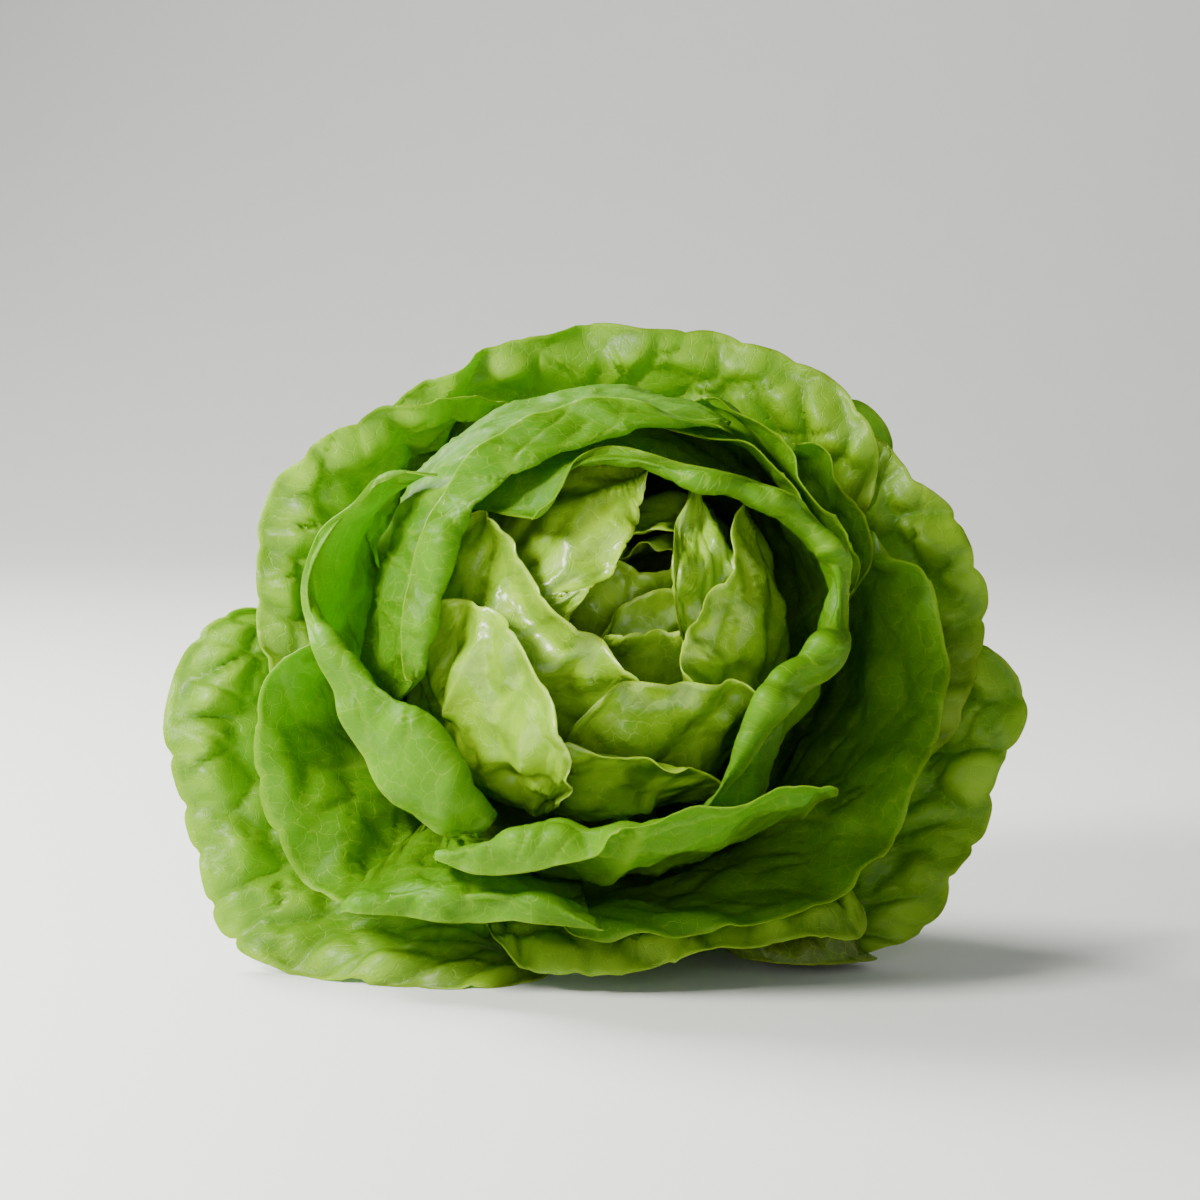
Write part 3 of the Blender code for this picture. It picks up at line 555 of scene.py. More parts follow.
def reliefOver(leaf, x, y, edge, v, seed):  # how far each place swells toward the heart, and its marks
    look = leaf["look"]
    rib, side = veinField(look, x, y, v, seed)
    bentX = x + pattern["bend"] * swell(x, y, pattern["bendSize"], seed + 11)
    bentY = y + pattern["bend"] * swell(x, y, pattern["bendSize"], seed + 12)
    puff, kind, crease = pillows(bentX, bentY, look["blisterSize"], seed + 20)
    small, _, _ = pillows(bentX, bentY, look["blisterSize"] * pattern["smallShare"], seed + 30)
    body = ramp(*pattern["body"], v)
    flattest = pattern["flattest"]
    blister = puff * (flattest + (1 - flattest) * kind) * (1 - pattern["veinHold"] * side) * (1 - rib)
    thin = flattest + (1 - flattest) * ramp(0.0, pattern["thinReach"], edge)
    relief = look["blister"] * blister * body * thin
    relief += look["pucker"] * small * body * (1 - rib)
    relief -= look["veinDepth"] * side + look["ribDepth"] * rib * ramp(*pattern["ribStart"], v)
    relief += look["dimple"] * swell(bentX, bentY, look["dimpleSize"], seed + 40) * body
    relief += look["sway"] * swell(x, y, look["swaySize"], seed + 50) * ramp(*pattern["swayHeights"], v)
    rim = (1 - ramp(0.0, look["waveReach"], edge)) ** pattern["rimFade"]
    swing = pattern["waveSwing"] * swell(x, y, pattern["swingSize"], seed + 60)
    wave = np.sin(2 * math.pi * x / look["waveLength"] + swing + seed)
    relief += look["wave"] * wave * rim * ramp(*pattern["waveHeights"], v)
    rim = (1 - ramp(0.0, look["rollReach"], edge)) ** pattern["rimFade"]
    relief -= look["rollBack"] * rim * ramp(*pattern["rollHeights"], v)

    # The crest mark is a painted highlight: a paler colour on the tops of the blisters, where they catch the
    # light
    mix = pattern["crestMix"]
    crest = np.clip(mix * blister + (1 - mix) * small, 0, 1) * body
    # The hollow mark is painted shade: a darker colour laid in the creases between the blisters, where shade
    # falls
    floor = pattern["hollowShadeFloor"]
    hollowShade = (1 - puff) ** pattern["hollowShadeFade"] * (floor + (1 - floor) * kind)
    hollowShade = np.clip(hollowShade + pattern["hollowShadeMix"] * (1 - small), 0, 1) * body * (1 - rib)
    vein = np.clip(rib + pattern["sideVein"] * side + look["creaseTint"] * crease * body, 0, 1)
    marks = dict(vein=vein, crest=crest, hollowShade=hollowShade)
    return relief, rib, side, marks


def growBlade(leaf, seed):  # a placed leaf as a fine blade, with the marks that its skin reads
    look = leaf["look"]
    grid, along = fineGrid(leaf, leaf["sheet"])
    x, y, edge = grainPlaces(grid)
    v = np.broadcast_to(along[:, None], x.shape)
    relief, rib, side, marks = reliefOver(leaf, x, y, edge, v, seed)
    grid, shading, way, outward = swellOut(leaf, grid, relief)
    edgeHalf, half = look["edgeThickness"] / 2, look["thickness"] / 2
    half = edgeHalf + (half - edgeHalf) * ramp(0.0, fine["edgeReach"], edge)
    proud = look["ribProud"] * rib * (1 - fine["ribTaper"] * v) + look["veinProud"] * side
    outer = grid + way * np.minimum(half + proud, half + outward)[..., None]
    inner = grid - way * half[..., None]
    low = leaf["low"]
    outer[..., 2] = np.maximum(outer[..., 2], low)
    inner[..., 2] = np.maximum(inner[..., 2], low)
    keepApart(outer, inner, low, 2 * half)

    mesh = bladeMesh(leaf["name"] + "_blade", outer, inner)
    if mesh.polygons[0].normal.dot(Vector(way[0, 0])) < 0:
        mesh.flip_normals()
    mesh.shade_smooth()
    past = pastEdge(grid)
    lean = np.concatenate(((shading + past).reshape(-1, 3), (past - shading).reshape(-1, 3)))
    lean /= np.linalg.norm(lean, axis=-1, keepdims=True)
    mesh.normals_split_custom_set_from_vertices(lean.tolist())

    # The rim mark is a thin pale line at the edge: partly the leaf's own paler margin, partly a painted
    # highlight where the edge catches the light
    marks["rim"] = np.exp(-edge / fine["rimReach"])
    marks["margin"] = np.exp(-edge / look["marginReach"])
    marks["base"] = 1 - ramp(0.0, fine["baseHeight"], v)
    marks["tone"] = 0.5 + 0.5 * swell(x, y, fine["toneSize"], seed + 70)
    for name, values in marks.items():
        writeMark(mesh, name, values, values)
    writeMark(mesh, "outer", np.ones_like(v), np.zeros_like(v))
    writeGrain(mesh, x, y)
    mesh.materials.append(leafSkin(leaf))
    piece = bpy.data.objects.new(leaf["name"] + "_blade", mesh)
    bpy.context.collection.objects.link(piece)
    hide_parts(leaf["name"])
    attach(piece, "root")
    return 2 * len(mesh.polygons)


def swellOut(leaf, grid, relief):  # the grid with its relief, and which way its faces look and are shaded
    inward, outward = roomBeside(leaf, grid)
    eased = np.where(relief > 0, inward * np.tanh(relief / inward), -outward * np.tanh(-relief / outward))
    centre = head["centre"] - shift
    square = squareTo(grid, centre)
    shading = squareTo(grid - leaf["look"]["shadeGain"] * square * relief[..., None], centre)
    trust = ramp(*fine["foldTrust"], (shading * square).sum(axis=-1))  # less on a tight fold
    for _ in range(fine["trustRounds"]):
        trust = nearMean(trust)
    grid = grid - square * (trust * eased)[..., None]
    way = squareTo(grid, centre)
    trust = np.minimum(trust, ramp(*fine["shadeTrust"], (shading * way).sum(axis=-1)))[..., None]
    return grid, trust * shading + (1 - trust) * way, way, outward


def bladeMesh(name, outer, inner):  # both sides and the edge that joins them
    rows, columns = outer.shape[:2]
    count = rows * columns
    r, c = np.meshgrid(np.arange(rows - 1), np.arange(columns - 1), indexing="ij")
    a = (r * columns + c).ravel()
    quads = np.stack((a, a + 1, a + columns + 1, a + columns), axis=1)
    faces = [tuple(quad) for quad in quads.tolist()]
    faces += [tuple(quad) for quad in (quads[:, ::-1] + count).tolist()]
    loop = borderLoop(rows, columns)
    for i, a in enumerate(loop):
        b = loop[(i + 1) % len(loop)]
        faces.append((b, a, a + count, b + count))
    corners = np.concatenate((outer.reshape(-1, 3), inner.reshape(-1, 3)))
    mesh = bpy.data.meshes.new(name)
    mesh.from_pydata((corners * mm).tolist(), [], faces)
    return mesh


def pastEdge(grid):  # along the border, the way out past the edge; nothing inside it
    across, along = np.gradient(grid, axis=1), np.gradient(grid, axis=0)
    across = across / np.linalg.norm(across, axis=-1, keepdims=True)
    along = along / np.linalg.norm(along, axis=-1, keepdims=True)
    past = np.zeros(grid.shape)
    past[:, 0] -= across[:, 0]
    past[:, -1] += across[:, -1]
    past[0] -= along[0]
    past[-1] += along[-1]
    return past


def writeMark(mesh, name, *sides):  # a value for each corner, one side of the blade after the other
    marks = mesh.attributes.new(name + "Mark", "FLOAT", "POINT")
    marks.data.foreach_set("value", np.concatenate([side.ravel() for side in sides]).astype(np.float32))


def writeGrain(mesh, x, y):  # the leaf's own millimetres, which its fine veins follow
    places = np.stack((x, y), axis=-1).reshape(-1, 2)
    places = np.concatenate((places, places))
    corners = np.empty(len(mesh.loops), np.int32)
    mesh.loops.foreach_get("vertex_index", corners)
    grain = mesh.uv_layers.new(name="grain")
    grain.data.foreach_set("uv", places[corners].astype(np.float32).ravel())


def addNode(tree, kind, **settings):
    node = tree.nodes.new(kind)
    for name, value in settings.items():
        setattr(node, name, value)
    return node


def plug(tree, source, target):  # joins a socket, or sets a plain value on it
    if isinstance(source, bpy.types.NodeSocket):
        tree.links.new(source, target)
    else:
        target.default_value = source


def mathStep(tree, kind, first, second, third=0.0):
    node = addNode(tree, "ShaderNodeMath", operation=kind)
    for socket, value in zip(node.inputs, (first, second, third)):
        plug(tree, value, socket)
    return node.outputs[0]


def blendColours(tree, share, under, over):
    node = addNode(tree, "ShaderNodeMix", data_type="RGBA")
    plug(tree, share, node.inputs[0])
    plug(tree, under, node.inputs[6])
    plug(tree, over, node.inputs[7])
    return node.outputs[2]


def markOf(tree, name):
    return addNode(tree, "ShaderNodeAttribute", attribute_name=name + "Mark").outputs["Fac"]


def noiseOver(tree, place, scale, detail):
    node = addNode(tree, "ShaderNodeTexNoise")
    plug(tree, place, node.inputs["Vector"])
    node.inputs["Scale"].default_value = scale
    node.inputs["Detail"].default_value = detail
    return node


# What the skins of all leaves share, in the leaf's own millimetres. A net: the size of its
# meshes and the width of its veins. A noise: its scale and its detail.
skin = dict(
    warp=(0.22, 3.0), warpReach=4.5, wideNet=(3.8, 0.06), closeNet=(1.5, 0.10), closeTint=0.14,
    cloud=(0.035, 4.0), cloudTone=1.6, swellTone=0.5, lowTone=-0.55, speck=(0.9, 3.0),
    wideSink=-0.5, closeSink=-0.22, speckRise=0.35, speckGloss=0.16, outerGloss=0.06,
    glowShare=0.55, lightBend=1.42,
)


def netOver(tree, place, size, width):  # a net of fine veins: 1 on a vein, 0 inside a mesh of the net
    node = addNode(tree, "ShaderNodeTexVoronoi", feature="DISTANCE_TO_EDGE", voronoi_dimensions="2D")
    plug(tree, place, node.inputs["Vector"])
    node.inputs["Scale"].default_value = 1 / size
    edge = addNode(tree, "ShaderNodeMapRange", interpolation_type="SMOOTHSTEP")
    plug(tree, node.outputs["Distance"], edge.inputs["Value"])
    edge.inputs["From Min"].default_value = 0.0
    edge.inputs["From Max"].default_value = width
    edge.inputs["To Min"].default_value = 1.0
    edge.inputs["To Max"].default_value = 0.0
    return edge.outputs["Result"]


def tintedBy(tree, look, marks, name, under, over):  # lays a colour of the look where a mark is
    share = mathStep(tree, "MULTIPLY", marks[name], look[name + "Tint"])
    return blendColours(tree, share, under, look[over])


def leafSkin(leaf):
    look = leaf["look"]
    material = bpy.data.materials.new(leaf["name"] + "_skin")
    material.use_nodes = True
    tree = material.node_tree
    tree.nodes.clear()
    grain = addNode(tree, "ShaderNodeUVMap", uv_map="grain").outputs["UV"]
    warp = noiseOver(tree, grain, *skin["warp"])
    bent = addNode(tree, "ShaderNodeVectorMath", operation="MULTIPLY_ADD")
    plug(tree, warp.outputs["Color"], bent.inputs[0])
    bent.inputs[1].default_value = (skin["warpReach"], skin["warpReach"], 0.0)
    plug(tree, grain, bent.inputs[2])
    wide = netOver(tree, bent.outputs[0], *skin["wideNet"])
    close = netOver(tree, bent.outputs[0], *skin["closeNet"])
    cloud = noiseOver(tree, grain, *skin["cloud"]).outputs["Fac"]
    speck = noiseOver(tree, grain, *skin["speck"]).outputs["Fac"]
    names = ("vein", "crest", "hollowShade", "rim", "margin", "base", "tone", "outer")
    marks = {name: markOf(tree, name) for name in names}

    # The leaf's tint brightens or darkens the whole leaf: partly its own tone, partly painted light and
    # painted shade for where it lies lit or shaded
    lowTone = skin["lowTone"] + leaf.get("toneAndLightTint", 0.0)
    tone = mathStep(tree, "MULTIPLY_ADD", marks["tone"], skin["swellTone"], lowTone)
    depth = addNode(tree, "ShaderNodeClamp")
    plug(tree, mathStep(tree, "MULTIPLY_ADD", cloud, skin["cloudTone"], tone), depth.inputs["Value"])
    colour = blendColours(tree, depth.outputs[0], look["deep"], look["bright"])
    # Crest lays a painted highlight on the blister tops and hollow lays painted shade between them; margin
    # uses the same pale colour for the leaf's own paler edge, and outer colours its back
    for name, over in (("crest", "crest"), ("margin", "crest"), ("outer", "outer"), ("hollowShade", "hollowShade")):
        colour = tintedBy(tree, look, marks, name, colour, over + "Colour")
    closeThreads = mathStep(tree, "MULTIPLY", close, skin["closeTint"])
    threads = mathStep(tree, "MULTIPLY_ADD", wide, look["threadTint"], closeThreads)
    colour = blendColours(tree, threads, colour, look["veinColour"])
    # The rim colour is a thin pale edge, partly the leaf's own and partly a painted highlight
    for name in ("vein", "base", "rim"):
        colour = tintedBy(tree, look, marks, name, colour, name + "Colour")

    height = mathStep(tree, "MULTIPLY", close, skin["closeSink"])
    height = mathStep(tree, "MULTIPLY_ADD", wide, skin["wideSink"], height)
    height = mathStep(tree, "MULTIPLY_ADD", speck, skin["speckRise"], height)
    bump = bumpOver(tree, height, look["bumpStrength"], look["bumpDepth"])
    gloss = look["roughness"] - skin["speckGloss"] / 2
    gloss = mathStep(tree, "MULTIPLY_ADD", speck, skin["speckGloss"], gloss)
    gloss = mathStep(tree, "MULTIPLY_ADD", marks["outer"], skin["outerGloss"], gloss)
    shader = addNode(tree, "ShaderNodeBsdfPrincipled")
    plug(tree, colour, shader.inputs["Base Color"])
    plug(tree, gloss, shader.inputs["Roughness"])
    plug(tree, bump, shader.inputs["Normal"])
    shader.inputs["IOR"].default_value = skin["lightBend"]
    shader.inputs["Specular IOR Level"].default_value = look["shine"]
    shader.inputs["Coat Weight"].default_value = look["wax"]
    shader.inputs["Coat Roughness"].default_value = look["waxRoughness"]
    glow = addNode(tree, "ShaderNodeBsdfTranslucent")
    plug(tree, blendColours(tree, skin["glowShare"], colour, look["glowColour"]), glow.inputs["Color"])
    plug(tree, bump, glow.inputs["Normal"])
    both = addNode(tree, "ShaderNodeMixShader")
    both.inputs[0].default_value = look["glow"]
    plug(tree, shader.outputs[0], both.inputs[1])
    plug(tree, glow.outputs[0], both.inputs[2])
    output = addNode(tree, "ShaderNodeOutputMaterial")
    plug(tree, both.outputs[0], output.inputs["Surface"])
    return material


def bumpOver(tree, height, strength, depth):
    bump = addNode(tree, "ShaderNodeBump")
    bump.inputs["Strength"].default_value = strength
    bump.inputs["Distance"].default_value = depth * mm
    plug(tree, height, bump.inputs["Height"])
    return bump.outputs[0]


# The three kinds of leaf. Sizes and heights of the relief are in mm, and colours are linear.
# The crest colour is a painted highlight on the blister tops, and it also colours the paler margin; the
# hollow colour is painted shade between the blisters; the rim colour is a thin pale edge, partly the leaf's
# own and partly a painted highlight
heartLook = dict(
    slot="heart_leaf", thickness=0.85, edgeThickness=0.32,
    blister=1.6, blisterSize=10.0, pucker=0.12, dimple=3.2, dimpleSize=9.0, sway=2.6, swaySize=17.0,
    wave=0.9, waveLength=17.0, waveReach=9.0, shadeGain=1.35, rollBack=1.0, rollReach=6.0,
    lobe=13.0, notch=0.7, creaseTint=0.30, marginReach=5.0, marginTint=0.25,
    ribWidth=2.4, ribBend=2.0, ribDepth=0.30, ribProud=1.0, veinGap=12.0, veinLean=0.55, veinArch=0.004,
    veinWidth=0.6, veinReach=40.0, veinDepth=0.22, veinProud=0.25,
    deep=(0.085, 0.27, 0.001, 1), bright=(0.31, 0.58, 0.002, 1), threadTint=0.40,
    crestColour=(0.54, 0.80, 0.03, 1), crestTint=0.58, hollowShadeColour=(0.04, 0.17, 0.001, 1), hollowShadeTint=0.62,
    outerColour=(0.28, 0.52, 0.01, 1), outerTint=0.20, veinColour=(0.46, 0.68, 0.05, 1), veinTint=0.40,
    baseColour=(0.52, 0.66, 0.10, 1), baseTint=0.45, rimColour=(0.50, 0.70, 0.02, 1), rimTint=0.30,
    glowColour=(0.38, 0.74, 0.0, 1), glow=0.24, roughness=0.34, shine=0.7, wax=0.55, waxRoughness=0.21,
    bumpStrength=0.5, bumpDepth=0.24,
)
middleLook = dict(
    slot="middle_leaf", thickness=0.9, edgeThickness=0.32,
    blister=1.5, blisterSize=12.0, pucker=0.15, dimple=2.0, dimpleSize=10.0, sway=3.0, swaySize=21.0,
    wave=1.4, waveLength=22.0, waveReach=14.0, shadeGain=1.3, rollBack=1.4, rollReach=8.0,
    lobe=17.0, notch=0.7, creaseTint=0.30, marginReach=6.0, marginTint=0.08,
    ribWidth=3.0, ribBend=3.0, ribDepth=0.30, ribProud=1.3, veinGap=13.0, veinLean=0.55, veinArch=0.004,
    veinWidth=0.6, veinReach=50.0, veinDepth=0.25, veinProud=0.35,
    deep=(0.045, 0.20, 0.001, 1), bright=(0.14, 0.38, 0.001, 1), threadTint=0.34,
    crestColour=(0.30, 0.56, 0.004, 1), crestTint=0.25, hollowShadeColour=(0.025, 0.13, 0.001, 1), hollowShadeTint=0.35,
    outerColour=(0.09, 0.29, 0.001, 1), outerTint=0.68, veinColour=(0.36, 0.60, 0.03, 1), veinTint=0.42,
    baseColour=(0.48, 0.64, 0.10, 1), baseTint=0.45, rimColour=(0.46, 0.64, 0.01, 1), rimTint=0.30,
    glowColour=(0.30, 0.68, 0.0, 1), glow=0.46, roughness=0.46, shine=0.32, wax=0.04, waxRoughness=0.36,
    bumpStrength=0.5, bumpDepth=0.24,
)
outerLook = dict(
    slot="outer_leaf", thickness=0.95, edgeThickness=0.34,
    blister=4.6, blisterSize=15.0, pucker=0.15, dimple=1.0, dimpleSize=12.0, sway=2.6, swaySize=26.0,
    wave=1.5, waveLength=31.0, waveReach=18.0, shadeGain=1.4, rollBack=3.2, rollReach=11.0,
    lobe=17.0, notch=1.1, creaseTint=0.45, marginReach=10.0, marginTint=0.56,
    ribWidth=3.8, ribBend=4.0, ribDepth=0.4, ribProud=1.7, veinGap=15.0, veinLean=0.55, veinArch=0.004,
    veinWidth=0.7, veinReach=60.0, veinDepth=0.35, veinProud=0.5,
    deep=(0.026, 0.135, 0.001, 1), bright=(0.15, 0.41, 0.001, 1), threadTint=0.38,
    crestColour=(0.46, 0.70, 0.03, 1), crestTint=0.55, hollowShadeColour=(0.018, 0.10, 0.001, 1), hollowShadeTint=0.75,
    outerColour=(0.20, 0.42, 0.008, 1), outerTint=0.35, veinColour=(0.35, 0.58, 0.03, 1), veinTint=0.42,
    baseColour=(0.46, 0.62, 0.12, 1), baseTint=0.50, rimColour=(0.44, 0.62, 0.02, 1), rimTint=0.30,
    glowColour=(0.28, 0.62, 0.0, 1), glow=0.46, roughness=0.42, shine=0.45, wax=0.10, waxRoughness=0.32,
    bumpStrength=0.55, bumpDepth=0.28,
)

# The leaf under the head on the right is painted dark olive brown; its darkness is painted shade for the
# shadow it lies in
shadedOliveLook = dict(
    outerLook, deep=(0.05, 0.07, 0.01, 1), bright=(0.12, 0.15, 0.02, 1), crestTint=0.10, marginTint=0.15,
    outerColour=(0.13, 0.11, 0.03, 1), outerTint=0.60, glow=0.20,
)

# The leaves from the heart outward. margin: stations (across, up[, depth]) as seen from the
# front; without a depth, a station lies on a ball of radius ball, or at edge where the ball
# is not that near. fold: the line from which a rolled rim leans out. way and grip: where
# round the stem the leaf grips it and how wide. back: how far behind the centre it grips.
# belly and ahead: how far out its middle bulges. low: how near the ground it may come. sag: how far it
# spreads flat there. cells: how many cells the plain blade has across and along. The tint is how much
# brighter than its look the leaf is painted, or darker: partly the leaf's own tone and partly painted light
# and painted shade for where it lies lit or shaded.
budBackLeaf = dict(
    name="bud_back_leaf",
    margin=((0, 106), (5, 110), (11, 110.5), (17, 110.5), (22, 108), (26, 102)),
    ball=46, edge=-20, way=75, grip=60, back=20, ahead=17, belly=26, low=20, cells=(6, 6),
    look=heartLook,
)
placeLeaf(budBackLeaf)

budFrontLeaf = dict(
    name="bud_front_leaf",
    margin=((27, 107), (21, 108.5), (17.5, 107), (14, 105), (11, 106.5), (6, 108.5), (1, 108.5)),
    ball=48, edge=-20, way=265, grip=60, back=22, ahead=18, belly=28.5, low=20, cells=(6, 6),
    look=heartLook,
)
placeLeaf(budFrontLeaf)

heartLeafSmall = dict(
    name="heart_leaf_small",
    margin=((0, 88), (4, 94), (10, 100), (17, 102), (25, 101), (31, 94)),
    ball=48, edge=-20, way=268, grip=70, back=24, ahead=15, belly=33, low=20, cells=(8, 7),
    look=heartLook,
)
placeLeaf(heartLeafSmall)

heartLeafTop = dict(
    name="heart_leaf_top",
    margin=((-8, 112), (0, 113), (8, 114), (14, 115), (21, 115), (28, 110), (34, 103)),
    ball=53, edge=-20, way=85, grip=70, back=25.5, ahead=15, belly=36.5, low=20, cells=(8, 7),
    look=heartLook,
)
placeLeaf(heartLeafTop)

heartLeafLow = dict(
    name="heart_leaf_low",
    margin=((-1, 88), (6, 91.5), (15, 91.5), (23, 91), (31, 89)),
    ball=52, edge=-20, way=275, grip=70, back=27, ahead=15, belly=37.5, low=20, cells=(8, 7),
    look=heartLook,
)
placeLeaf(heartLeafLow)

heartLeafPointed = dict(
    name="heart_leaf_pointed",
    margin=((19, 104), (19.5, 111), (20.5, 119), (24, 128), (28, 121), (32, 114), (37, 109)),
    fold=((20, 96, -46), (26, 94, -46), (32, 95, -45), (38, 99, -43)),
    ball=55, edge=-20, way=325, grip=60, back=28.5, ahead=15, belly=40, low=20, cells=(9, 7),
    look=heartLook,
)
placeLeaf(heartLeafPointed)

heartLeafUpperLeft = dict(
    name="heart_leaf_upper_left",
    margin=((16, 129), (12, 124), (11, 117), (6, 108), (0, 100), (-8, 94)),
    ball=57, edge=-20, way=150, grip=80, back=30, ahead=15, belly=42.5, low=20, cells=(9, 8),
    look=heartLook, toneAndLightTint=0.35,
)
placeLeaf(heartLeafUpperLeft)

heartLeafRight = dict(
    name="heart_leaf_right",
    margin=((34, 124), (35, 114), (34, 107), (28, 102), (24, 95), (23.5, 86), (24, 79), (28, 70)),
    ball=59.5, edge=-20, way=350, grip=80, back=31.5, ahead=15, belly=45, low=20, cells=(9, 8),
    look=heartLook, toneAndLightTint=0.25,
)
placeLeaf(heartLeafRight)

heartLeafLeft = dict(
    name="heart_leaf_left",
    margin=(
        (-34, 121), (-25, 121), (-20, 112), (-18, 106), (-10, 97), (0, 90), (5, 85), (12, 79), (18, 70),
    ),
    ball=61, edge=-20, way=190, grip=80, back=33, ahead=15, belly=47.5, low=20, cells=(9, 8),
    look=heartLook, toneAndLightTint=0.2,
)
placeLeaf(heartLeafLeft)

heartLeafBottom = dict(
    name="heart_leaf_bottom",
    margin=((-2, 74), (5, 78), (12, 78.5), (25, 79), (39, 78), (47, 72)),
    ball=62.5, edge=-20, way=285, grip=80, back=34.5, ahead=14, belly=49.5, low=20, cells=(9, 8),
    look=heartLook, toneAndLightTint=-0.45,
)
placeLeaf(heartLeafBottom)

heartLeafLower = dict(
    name="heart_leaf_lower",
    margin=((-18, 64), (-8, 63), (-2, 61), (8, 61), (18, 58), (30, 52), (40, 44)),
    ball=65, edge=-20, way=258, grip=80, back=36, ahead=14, belly=51.5, low=18, cells=(9, 8),
    look=heartLook, toneAndLightTint=0.3,
)
placeLeaf(heartLeafLower)

heartLeafBright = dict(
    name="heart_leaf_bright",
    margin=(
        (-56, 72, -22), (-51, 86, -29), (-45, 96, -36), (-39, 100, -42), (-30, 98, -49), (-20, 92),
        (-14, 84), (-8, 76), (-3, 66), (-2, 59), (-6, 48),
    ),
    ball=67, edge=-20, way=212, grip=80, back=37.5, ahead=14, belly=54, low=18, cells=(10, 9),
    look=heartLook, toneAndLightTint=0.25,
)
placeLeaf(heartLeafBright)

wavyLeafRight = dict(
    name="wavy_leaf_right",
    margin=(
        (-15, 118, -56), (-12.5, 124, -53), (-9, 130.5, -49), (-4, 135, -46), (3, 137, -45), (11, 137, -47),
        (22, 133.5, -49), (33, 131, -49), (43, 128.5, -46), (54, 122.5, -42), (63, 112, -38),
        (66.5, 102, -37), (66, 92, -39), (64.5, 83, -42), (60, 76.5, -47), (52, 74.5, -52), (47, 67, -55),
        (40, 56.5, -57), (33, 47, -58), (26, 40, -58),
    ),
    fold=(
        (-18, 118, -46), (-16, 124, -43), (-12, 129, -41), (-6, 132.5, -39), (2, 134, -39), (12, 134, -42),
        (22, 130.5, -44), (32, 127.5, -44), (42, 124, -42), (52, 118, -38), (59.5, 108, -36), (60, 98, -38),
        (58.5, 90, -41), (56, 85, -45), (49, 82, -49), (43, 77, -52), (38.5, 69, -54), (34, 60, -54),
        (28, 50, -53), (22, 43, -52),
    ),
    ball=69, edge=-30, way=20, grip=90, back=39, ahead=8, belly=53.5, low=16, cells=(17, 11),
    look=middleLook,
)
placeLeaf(wavyLeafRight)

bandLeafTop = dict(
    name="band_leaf_top",
    margin=(
        (8, 140, -26), (14, 140.5, -29), (20, 139.5, -33), (30, 138, -34), (38, 136, -32), (45, 131, -30),
        (51, 125, -28), (57, 116, -25),
    ),
    ball=70, edge=-24, way=75, grip=70, back=40.5, ahead=7, belly=55, low=16, cells=(8, 8),
    look=middleLook,
)
placeLeaf(bandLeafTop)

ribbonLeaf = dict(
    name="ribbon_leaf",
    margin=(
        (36, 142.5, -34), (28, 144.5, -36), (20, 147, -38), (10, 150.5, -39), (0, 151, -40),
        (-10, 148, -41), (-17, 145, -43), (-24, 141.5, -44), (-31, 136, -46), (-37, 130, -47),
        (-41, 123, -49), (-45, 113, -51), (-48, 101, -52), (-50, 88, -52), (-51, 76, -50),
    ),
    fold=(
        (35, 140, -29), (27, 141.5, -31), (18, 142, -34), (10, 141, -37), (0, 136.5, -41), (-10, 132, -44),
        (-19, 125, -46), (-27, 120, -47), (-35, 114, -46), (-38.5, 107, -47), (-38.5, 101, -49),
        (-39, 95, -49), (-41, 88, -49), (-43, 78, -48),
    ),
    ball=74, edge=-26, way=140, grip=90, back=42, ahead=6, belly=57.5, low=16, cells=(14, 11),
    look=middleLook, toneAndLightTint=-0.15,
)
placeLeaf(ribbonLeaf)

rimLeafInner = dict(
    name="rim_leaf_inner",
    margin=(
        (28, 144.5, -26), (32, 146, -25), (36, 146, -25), (42, 142.5, -26), (48, 136, -28), (54, 128, -28),
        (59, 122, -27), (65, 114, -22), (69, 104, -18),
    ),
    ball=72, edge=-18, way=42, grip=80, back=43.5, ahead=6, belly=59, low=16, cells=(9, 8),
    look=middleLook,
)
placeLeaf(rimLeafInner)

rimLeafOuter = dict(
    name="rim_leaf_outer",
    margin=(
        (48, 138, -15), (54, 135.5, -16), (60, 132, -17), (65, 126, -17), (69, 117, -16), (72, 106, -13),
    ),
    ball=73, edge=-14, way=30, grip=80, back=45, ahead=6, belly=61, low=16, cells=(8, 8),
    look=middleLook,
)
placeLeaf(rimLeafOuter)

middleLeafLeft = dict(
    name="middle_leaf_left",
    margin=(
        (-40, 131.5, -39), (-45, 131.5, -39), (-51, 130.5, -38), (-60, 125, -37), (-70, 115, -36),
        (-75, 104, -36), (-74.5, 95, -39), (-71, 86, -44), (-67, 74, -49), (-62, 61, -52), (-54, 51, -55),
        (-45, 41, -56), (-38, 36, -53), (-31, 35, -51),
    ),
    fold=(
        (-41, 127.5, -32), (-45, 127.5, -32), (-51, 126, -32), (-58, 120.5, -31), (-66, 111, -31),
        (-70, 102, -32), (-70, 95, -34), (-67, 89.5, -38), (-60, 82, -45), (-52, 77.5, -50), (-45, 73, -54),
        (-38, 62, -57), (-31, 51, -56), (-25, 43, -54),
    ),
    ball=72, edge=-30, way=195, grip=90, back=46.5, ahead=6, belly=62, low=14, cells=(14, 11),
    look=middleLook, toneAndLightTint=0.2,
)
placeLeaf(middleLeafLeft)

